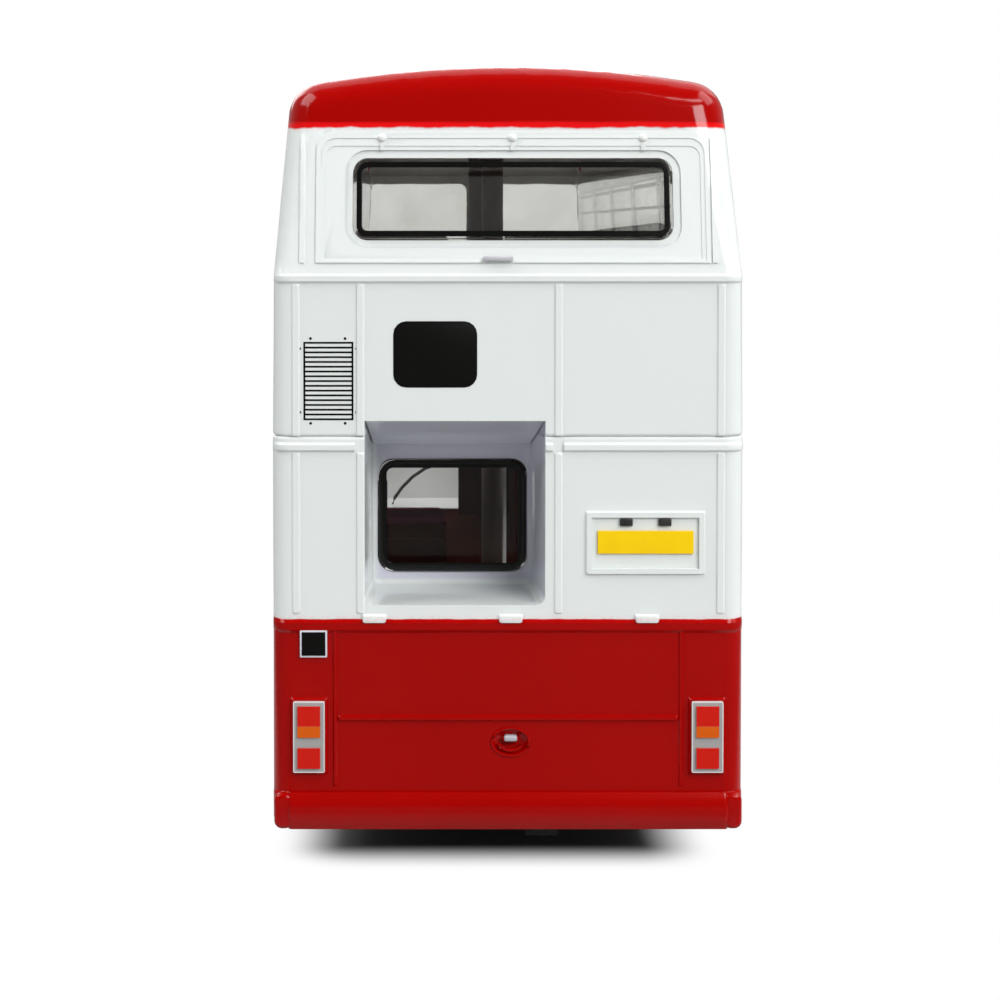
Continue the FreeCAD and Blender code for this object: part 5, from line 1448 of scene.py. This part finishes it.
@dataclass
class Wheels(Trim):
    """The nuts of each wheel and the bead rings of its tyre."""

    wreath: Wreath
    nuts: int = 10
    nut_circle: float = 2.55
    nut_radius: float = 0.26
    nut_tall: float = 0.28
    flat: float = 0.95
    near: tuple[float, float] = (-0.2, 0.5)
    wall_sunk: float = 0.06
    ring_radii: tuple[float, float] = (4.35, 5.55)
    ring: tuple[tuple[float, float], ...] = (
        (-0.14, -0.2), (-0.09, 0.03), (0.0, 0.055), (0.09, 0.03), (0.14, -0.2),
    )
    wheels: tuple[tuple[str, str, int], ...] = (
        ("front_left", "front_wheels", -1), ("front_right", "front_wheels", 1),
        ("rear_left", "rear_wheels", -1), ("rear_right", "rear_wheels", 1),
    )

    def build(self) -> None:
        """Dresses the four wheels."""
        silver = self.finishes.made["hub_silver"]
        for name, body, side in self.wheels:
            low, high = millimetres(name + "_hub")
            axle = Vector((0.0, (low.y + high.y) / 2, (low.z + high.z) / 2))
            disc = self.disc(name + "_hub", axle, side)
            nut = Form()
            start = Vector((disc, self.nut_circle, 0.0))
            axis = Vector((side, 0, 0))
            r, tall = self.nut_radius, self.nut_tall
            nut.turned(start, axis, [(r, -0.1), (r, tall * 0.7), (r * 0.7, tall), (r * 0.3, tall * 1.25)], 6)
            centre = (0.0, axle.y * MM, axle.z * MM)
            ring = self.wreath.grow(nut.mesh(name + "_nut"), name + "_wheel_nuts", Count=self.nuts,
                                    Turn=2 * math.pi / self.nuts, Centre=centre, Material=silver)
            show(ring, silver, body)
            self.tyre_rings(name, axle, side, body)

    def disc(self, node: str, axle: Vector, side: int) -> float:
        """Finds the wheel disc's face at the nut circle.

        Args:
            node: The hub's node.
            axle: Middle of the axle.
            side: -1 on the left and 1 on the right.

        Returns:
            Its X, in millimetres.
        """
        mesh, hits = frame["nodes"][node].data, []
        for poly in mesh.polygons:
            if poly.normal.x * side > self.flat:
                points = [mesh.vertices[index].co / MM for index in poly.vertices]
                reach = [math.hypot(point.y - axle.y, point.z - axle.z) for point in points]
                least, most = (self.nut_circle + off for off in self.near)
                if min(reach) < most and max(reach) > least:
                    hits.append(side * points[0].x)
        return side * max(set(hits), key=hits.count)

    def tyre_rings(self, name: str, axle: Vector, side: int, body: str) -> None:
        """Adds the raised bead rings on a tyre's outer wall.

        Args:
            name: Which wheel.
            axle: Middle of the axle.
            side: -1 on the left and 1 on the right.
            body: The body that the wheel is on.
        """
        node = name + ("_tyre" if name.startswith("front") else "_tyres")
        low, high = millimetres(node)
        wall = (high.x if side > 0 else -low.x) - self.wall_sunk
        form = Form()
        centre, axis = Vector((side * wall, axle.y, axle.z)), Vector((side, 0, 0))
        for radius in self.ring_radii:
            profile = [(radius + wider, out) for wider, out in self.ring]
            form.turned(centre, axis, profile, 64, capped=False)
        self.fit(form, name + "_tyre_rings", "tyre_black", "tyre_black", body)


@dataclass
class FrontTrim(Trim):
    """Headlamp bezels and ribs, plain grille, windscreen bar, blind rims and mirror glass."""

    row: Row
    slats: int = 7
    slat_half: float = 5.0
    slat_tall: float = 0.2
    slat_pitch: float = 0.42
    border: float = 0.3
    lamp_pitch: float = 3.2
    bezel: tuple[tuple[float, float], ...] = (
        (-0.02, -0.1), (0.16, -0.1), (0.16, 0.12), (0.06, 0.24), (-0.12, 0.24), (-0.2, 0.12),
    )
    ribs: int = 7
    rib_half: float = 0.05
    rib_pitch: float = 0.26
    rib_reach: float = 0.74
    screen_bar: float = 0.35
    screen_inset: tuple[float, float] = (1.2, 2.6)
    front_blind: tuple[float, float, float] = (0.28, 0.9, 0.4)
    side_blind: tuple[float, float, float] = (0.25, 0.5, 0.34)
    mirror_wide: float = 1.5
    mirror_edge: tuple[float, float] = (0.2, 0.22)

    def build(self) -> None:
        """Fits the front trim."""
        self.bezels()
        self.grille()
        self.screen()
        self.blind_rims()
        self.mirror_glass()

    def bezels(self) -> None:
        """Fits a bright ring round each headlamp, with its lens ribs."""
        low, high = millimetres("headlamps")
        radius = (high.z - low.z) / 2
        z = (low.z + high.z) / 2
        xs = [low.x + radius, low.x + radius + self.lamp_pitch,
              high.x - radius - self.lamp_pitch, high.x - radius]
        profile = [(radius + wider, out) for wider, out in self.bezel]
        lens = high.y + 0.01
        rings, ribs = Form(), Form()
        for x in xs:
            rings.turned(Vector((x, self.at.front, z)), Vector((0, 1, 0)), profile, 40, capped=False)
            for n in range(self.ribs):
                off = (n - self.ribs // 2) * self.rib_pitch
                half = math.sqrt(max((radius * self.rib_reach) ** 2 - off ** 2, 0.01))
                shape = Oblong(x + off - self.rib_half, x + off + self.rib_half, z - half, z + half, 0.04)
                ribs.plate(Side.FRONT, shape, lens - 0.1, lens + 0.02)
        self.fit(rings, "headlamp_bezels", "headlamp_silver", "headlamp_silver")
        self.fit(ribs, "headlamp_ribs", "headlamp_glass", "headlamp_silver")

    def grille(self) -> None:
        """Fits the black slats between the headlamps, and their border."""
        low, face, half = millimetres("headlamps")[0].z + 0.1, self.at.front, self.slat_half
        high = low + self.slat_pitch * (self.slats - 1) + self.slat_tall
        black = self.finishes.made["trim_black"]
        slat, border = Form(), Form()
        shape = Oblong(-half, half, low, low + self.slat_tall, 0.08)
        slat.plate(Side.FRONT, shape, face - 0.1, face + 0.14, 0.05)
        show(self.row.up(slat, "front_slats", self.slats, self.slat_pitch, black), black)
        around = Oblong(-half - self.border, half + self.border, low - self.border, high + self.border, 0.4)
        border.rim(Side.FRONT, around, 0.22, face - 0.1, face + 0.12)
        self.fit(border, "front_grille_border", "trim_grey", "trim_grey")

    def screen(self) -> None:
        """Fits the upright bar of the windscreen."""
        rubber = millimetres("lower_window_seals")[1].y
        foot = millimetres("wipers")[0].z + self.screen_inset[0]
        top = self.at.seam - self.screen_inset[1]
        form = Form()
        shape = Oblong(-self.screen_bar, self.screen_bar, foot, top, 0.1)
        form.plate(Side.FRONT, shape, self.at.front - 0.3, rubber, 0.08)
        self.fit(form, "windscreen_bar", "black_rim", "black_rim")

    def blind_rims(self) -> None:
        """Fits the rims of the two destination boxes."""
        form = Form()
        low, high = millimetres("front_display")
        lip, corner, wide = self.front_blind
        shape = Oblong(low.x - lip, high.x + lip, low.z - lip, high.z + lip, corner)
        form.rim(Side.FRONT, shape, wide, low.y - 0.1, high.y + 0.18)
        low, high = millimetres("side_display")
        lip, corner, wide = self.side_blind
        shape = Oblong(low.y - lip, high.y + lip, low.z - lip, high.z + lip, corner)
        form.rim(Side.LEFT, shape, wide, -high.x - 0.1, -low.x + 0.16)
        self.fit(form, "blind_rims", "trim_black", "trim_black")

    def mirror_glass(self) -> None:
        """Fits the glass on the rear of each mirror head."""
        form = Form()
        side, foot = self.mirror_edge
        for name in ("left_mirror", "right_mirror"):
            low, high = millimetres(name)
            left = low.x if name.startswith("left") else high.x - self.mirror_wide
            shape = Oblong(left + side, left + self.mirror_wide - side, low.z + foot, high.z - foot, 0.3)
            form.plate(Side.REAR, shape, -low.y - 0.15, -low.y + 0.03, 0.03)
        self.fit(form, "mirror_glass", "mirror_bright", "headlamp_silver")


@dataclass
class SideTrim(Trim):
    """Louvres, panel lines, flaps and repeater lamps along both sides."""

    row: Row
    ink: float = 0.02
    louvres: int = 9
    louvre_foot: float = 9.4
    louvre_tall: float = 0.16
    louvre_places: tuple[tuple[Side, str, float, float, float], ...] = (
        (Side.LEFT, "left_engine_louvres", -57.5, -51.5, 0.55),
        (Side.RIGHT, "right_engine_louvres", -57.5, -51.5, 0.55),
        (Side.RIGHT, "battery_louvres", -17.0, -11.0, 0.45),
    )
    line: float = 0.07
    left_lines: tuple[float, ...] = (-50.0, -43.5, -12.0, 4.5)
    right_lines: tuple[float, ...] = (-50.0, -43.5, -18.0, -4.0, 10.0, 46.0, 57.0)
    line_rise: tuple[float, float] = (5.4, 18.8)
    flap_places: tuple[tuple[Side, Oblong], ...] = (
        (Side.RIGHT, Oblong(-9.4, -6.2, 11.2, 14.0, 0.3)), (Side.RIGHT, Oblong(47.2, 51.8, 8.2, 13.8, 0.3)),
        (Side.LEFT, Oblong(-9.0, -5.4, 9.4, 12.8, 0.3)),
    )
    flap_rim: tuple[float, float] = (0.14, 0.035)
    latch: tuple[float, float, float] = (0.75, 0.35, 0.3)
    lamp_half: float = 0.45
    lamp_rise: tuple[float, float] = (17.2, 17.8)
    lamp_places: tuple[float, float] = (58.9, -2.0)

    def build(self) -> None:
        """Fits the side trim."""
        self.louvre_sets()
        self.panel_lines()
        self.flaps()
        self.repeaters()

    def louvre_sets(self) -> None:
        """Prints the engine and battery louvres."""
        black, foot = self.finishes.made["ink_black"], self.louvre_foot
        for side, name, left, right, pitch in self.louvre_places:
            bar = Form()
            shape = Oblong(left, right, foot, foot + self.louvre_tall, 0.05)
            bar.printed(side, shape, self.at.side, self.ink)
            show(self.row.up(bar, name, self.louvres, pitch, black), black)

    def panel_lines(self) -> None:
        """Prints the upright joints of the skirt panels."""
        form = Form()
        face, half = self.at.side, self.line / 2
        for side, places in ((Side.LEFT, self.left_lines), (Side.RIGHT, self.right_lines)):
            for y in places:
                joint = Oblong(y - half, y + half, *self.line_rise, 0.02)
                form.printed(side, joint, face, self.ink * 0.5, 0.005)
        self.fit(form, "skirt_panel_lines", "line_dark", "trim_black")

    def flaps(self) -> None:
        """Adds the filler and locker flaps with their latches."""
        form, face = Form(), self.at.side
        wide, lift = self.flap_rim
        far, near, half = self.latch
        for side, shape in self.flap_places:
            form.rim(side, shape, wide, face - 0.05, face + lift)
            middle = (shape.low + shape.high) / 2
            latch = Oblong(shape.right - far, shape.right - near, middle - half, middle + half, 0.1)
            form.printed(side, latch, face, 0.06, 0.03)
        self.fit(form, "side_flaps", "body_paint", "body_paint")

    def repeaters(self) -> None:
        """Adds the orange side lamps."""
        form, face, half = Form(), self.at.side, self.lamp_half
        for side in (Side.LEFT, Side.RIGHT):
            for y in self.lamp_places:
                lamp = Oblong(y - half, y + half, *self.lamp_rise, 0.25)
                form.plate(side, lamp, face - 0.1, face + 0.12, 0.06)
        self.fit(form, "side_repeaters", "indicator_orange", "indicator_orange")


@dataclass
class SaloonTrim(Trim):
    """The front platform's lining and rail, a grab pole, and the rubbers and push bars of the doors."""

    rubber_half: float = 0.14
    push_height: float = 0.42
    push_ends: tuple[float, float] = (1.0, 0.9)
    push_out: float = 0.12
    push_radius: float = 0.1
    lining: tuple[float, float] = (-14.6, -1.6)
    lining_rows: tuple[tuple[float, float], ...] = ((53.0, 8.2), (61.4, 14.6), (61.6, 14.2), (54.0, 8.0))
    mat_rows: tuple[tuple[float, float], ...] = ((46.5, 9.98), (55.4, 9.98), (55.4, 9.86), (46.5, 9.86))
    bow: tuple[tuple[float, float, float], ...] = (
        (-10.9, 50.0, 9.8), (-10.6, 50.0, 10.8), (-9.6, 50.0, 12.2), (-8.2, 50.0, 13.6), (-6.6, 50.0, 14.7),
        (-4.85, 50.0, 15.3), (-2.8, 50.0, 15.5), (-0.8, 50.0, 15.5),
    )
    bow_radius: float = 0.22
    pole: tuple[float, float] = (1.5, -12.0)
    pole_foot: float = 9.8
    pole_head: float = 0.8
    pole_radius: float = 0.28

    def build(self) -> None:
        """Fits the saloon and door trim."""
        self.door_edges()
        self.platform()
        self.grab_pole()

    def door_edges(self) -> None:
        """Adds the black meeting rubbers and the push bars of both doors."""
        rubbers, bars = Form(), Form()
        for name in ("front_door", "exit_door"):
            low, high = millimetres(name)
            middle, half = (low.y + high.y) / 2, self.rubber_half
            shape = Oblong(middle - half, middle + half, low.z + 0.1, high.z - 0.1, 0.05)
            rubbers.plate(Side.LEFT, shape, -low.x - 0.2, -low.x + 0.1, 0.05)
            z = low.z + (high.z - low.z) * self.push_height
            inner, outer = self.push_ends[0], high.y - middle - self.push_ends[1]
            for side in (-1, 1):
                ends = sorted((middle + side * inner, middle + side * outer))
                bars.tube([Vector((low.x - self.push_out, y, z)) for y in ends], self.push_radius)
        self.fit(rubbers, "door_rubbers", "trim_black", "trim_black")
        self.fit(bars, "door_push_bars", "steel_bar", "steel")

    def platform(self) -> None:
        """Adds the pale sloping lining of the front platform, its mat and the curved rail behind it."""
        form = Form()
        for rows in (self.lining_rows, self.mat_rows):
            form.stack([[Vector((x, y, z)) for y, z in rows] for x in self.lining])
        self.fit(form, "platform_lining", "lining_white", "plate_white")
        rail = Form()
        rail.tube([Vector(spot) for spot in self.bow], self.bow_radius, 12)
        self.fit(rail, "platform_rail", "trim_black", "trim_black")

    def grab_pole(self) -> None:
        """Adds the upright pole of the lower saloon."""
        form = Form()
        heights = (self.pole_foot, self.at.seam - self.pole_head)
        form.tube([Vector((*self.pole, z)) for z in heights], self.pole_radius)
        self.fit(form, "saloon_pole", "lining_white", "steel")


# ---------------------------------------------------------------- studio


@dataclass
class Studio:
    """Floor, world, lamps and camera.

    The floor's bounce is what it gives the object, and its gain is what the camera sees, so that the
    open floor is white and the shadow stays. Close under the body the camera sees a lower gain, a painted
    shadow, kept inside the body by the painted shadow inset. The pool is the softness of the shadow's own
    area, which keeps inside the body by the pool insets, in pools: from the left, from the right and from
    the ends. Outside that area the camera sees plain white, painted light over any shadow that falls there.
    """

    floor_radius: float = 4.0
    white: Colour = (1.0, 1.0, 1.0)
    aim: tuple[float, float, float] = (0.0, 0.0, 0.03)
    boxes: tuple[tuple[str, tuple[float, float, float], float, float, float], ...] = (
        ("top", (0.0, 0.3, 0.5), 0.9, 0.6, 1.5),
        ("left", (-0.4, -0.12, 0.45), 0.34, 0.3, 1.6),
        ("right", (0.4, -0.05, 0.45), 0.34, 0.3, 1.2),
        ("rear", (0.31, -0.5, 0.33), 0.36, 0.15, 2.15),
        ("tail", (0.25, -0.35, 0.5), 0.3, 0.07, 0.65),
        ("front", (-0.2, 0.6, 0.4), 0.7, 0.4, 2.2),
    )
    eye: tuple[float, float, float] = (-4.95 * MM, -190.44 * MM, 46.64 * MM)
    pitch: float = math.radians(1.66)
    lens: float = 65.91
    shift_x: float = 0.0625
    shift_y: float = -0.2214
    daylight: float = 0.5
    horizon: float = 0.3
    sky_top: float = 0.7
    room: tuple[float, float] = (0.36, 0.05)
    room_turn: tuple[float, float] = (-0.4, 0.8)
    bounce: float = 0.34
    gloss_bounce: float = 0.34 / 3
    sheen: float = 0.45
    sheen_reach: tuple[float, float] = (0.085, 0.065)
    gain: float = 1.5
    painted_shadow_gain: float = 0.25
    painted_shadow_inset: float = 2.0
    fade: tuple[float, float] = (0.3, 0.12)
    pool: float = 3.0 * MM
    pool_insets: tuple[float, float, float] = (0.6, 1.1, 2.3)

    def build(self) -> None:
        """Builds the whole studio."""
        self.world()
        self.floor()
        self.lamps()
        self.camera()

    def world(self) -> None:
        """Makes the light: white as seen, a soft sky for the object, and in gloss a room dark at the rear."""
        world = bpy.data.worlds.new("studio")
        world.use_nodes = True
        bpy.context.scene.world = world
        tree = Tree(world.node_tree)
        path = tree.add("LightPath")
        shown = tree.maths("MAXIMUM", path.outputs["Is Camera Ray"], path.outputs["Is Transmission Ray"])
        _, ahead, up = tree.add("SeparateXYZ", Vector=tree.add("TexCoord").outputs["Generated"]).outputs
        room = tree.maths("MULTIPLY_ADD", tree.ramp(ahead, *self.room_turn), *self.room)
        rise = tree.maths("MULTIPLY_ADD", tree.ramp(up, 0.0, self.sky_top), 1 - self.horizon, self.horizon)
        sky = tree.maths("MULTIPLY", rise, self.daylight)
        level = tree.mix(path.outputs["Is Glossy Ray"], sky, room)
        tree.feed(tree.tree.nodes["Background"], "Color", tree.mix(shown, level, self.white))

    def floor(self) -> None:
        """Makes the pale floor, with a painted shadow close under the body, and seen by the camera as white,
        painted over any shadow, outside the shadow's own area.
        """
        mesh = bpy.data.meshes.new("studio_floor")
        r = self.floor_radius
        mesh.from_pydata([(-r, -r, 0), (r, -r, 0), (r, r, 0), (-r, r, 0)], [], [(0, 1, 2, 3)])
        floor = bpy.data.objects.new("studio_floor", mesh)
        bpy.context.scene.collection.objects.link(floor)
        material = bpy.data.materials.new("studio_floor")
        material.use_nodes = True
        tree = Tree(material.node_tree)
        tree.tree.nodes.remove(tree.tree.nodes["Principled BSDF"])
        path = tree.add("LightPath")
        gloss = path.outputs["Is Glossy Ray"]
        seen = tree.maths("MAXIMUM", path.outputs["Is Camera Ray"], path.outputs["Is Transmission Ray"])
        point, across, along, _ = tree.place()
        away = tree.add("VectorMath", {"operation": "LENGTH"}, Vector=point).outputs["Value"]
        gleam = tree.maths("MULTIPLY", gloss, tree.ramp(away, *self.sheen_reach))
        dull = tree.mix(gloss, (self.bounce,) * 3, (self.gloss_bounce,) * 3)
        plain = tree.mix(gleam, dull, (self.sheen,) * 3)
        # Painted shadow: close under the body the camera sees the floor darkened by a lower gain.
        under = self.footprint(tree, across, along, 0.0, 0.0, self.painted_shadow_inset)
        shown = tree.mix(under, (self.gain,) * 3, (self.painted_shadow_gain,) * 3)
        pale = tree.add("BsdfDiffuse", Color=tree.mix(seen, plain, shown))
        pooled = self.footprint(tree, across, along, *self.pool_insets)
        # Painted light: outside the pool area the camera sees white emission, even where the body's shadow
        # falls.
        near = tree.maths("MULTIPLY", tree.ramp(away, *self.fade), pooled)
        far = tree.maths("MULTIPLY", tree.maths("SUBTRACT", 1.0, near), seen)
        tree.surface(far, pale, tree.add("Emission"))
        mesh.materials.append(material)

    def footprint(self, tree: Tree, across: bpy.types.NodeSocket, along: bpy.types.NodeSocket, left: float,
                  right: float, ends: float) -> bpy.types.NodeSocket:
        """Marks a soft-edged area of the floor inside the body's outline.

        Args:
            tree: The floor's material.
            across: The point's X.
            along: The point's Y.
            left: How far it keeps inside the left side, in pools.
            right: How far it keeps inside the right side.
            ends: How far it keeps inside the front and the rear.

        Returns:
            The mask.
        """
        low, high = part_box("lower_body")
        wide = tree.within(across, low.x + left * self.pool, high.x - right * self.pool, self.pool)
        return tree.maths("MULTIPLY", wide, tree.within(
            along, low.y + ends * self.pool, high.y - ends * self.pool, self.pool))

    def lamps(self) -> None:
        """Makes the six soft boxes: overhead, left, right, rear, tail and front."""
        for name, place, wide, tall, power in self.boxes:
            lamp = bpy.data.lights.new("softbox_" + name, "AREA")
            lamp.shape, lamp.size, lamp.size_y, lamp.energy = "RECTANGLE", wide, tall, power
            box = bpy.data.objects.new("softbox_" + name, lamp)
            box.location = place
            aim = Vector(self.aim) - Vector(place)
            box.rotation_euler = aim.to_track_quat("-Z", "Y").to_euler()
            bpy.context.scene.collection.objects.link(box)

    def camera(self) -> None:
        """Makes the camera behind the bus, a little above the upper windows."""
        data = bpy.data.cameras.new("camera")
        data.lens, data.sensor_width = self.lens, 36.0
        data.shift_x, data.shift_y = self.shift_x, self.shift_y
        data.clip_start, data.clip_end = 0.01, 20.0
        camera = bpy.data.objects.new("camera", data)
        camera.location = self.eye
        camera.rotation_euler = (math.radians(90) - self.pitch, 0.0, 0.0)
        bpy.context.scene.collection.objects.link(camera)
        bpy.context.scene.camera = camera


def main() -> None:
    """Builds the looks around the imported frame."""
    logging.basicConfig(level=logging.INFO, format="%(name)s: %(message)s")
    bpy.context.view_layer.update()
    bpy.context.scene.view_settings.view_transform = "Standard"
    finishes = Finishes()
    finishes.build()
    finishes.dress_nodes(frame["record"])
    at, row = Datum(), Row()
    sets = (
        Mouldings(frame["record"], finishes), RearPrint(at, finishes, row, Scatter()),
        RearCastings(at, finishes), WindowBars(at, finishes), Wheels(at, finishes, Wreath()),
        FrontTrim(at, finishes, row), SideTrim(at, finishes, row), SaloonTrim(at, finishes),
    )
    for trim in sets:
        trim.build()
    Studio().build()


if __name__ == "__main__":
    main()
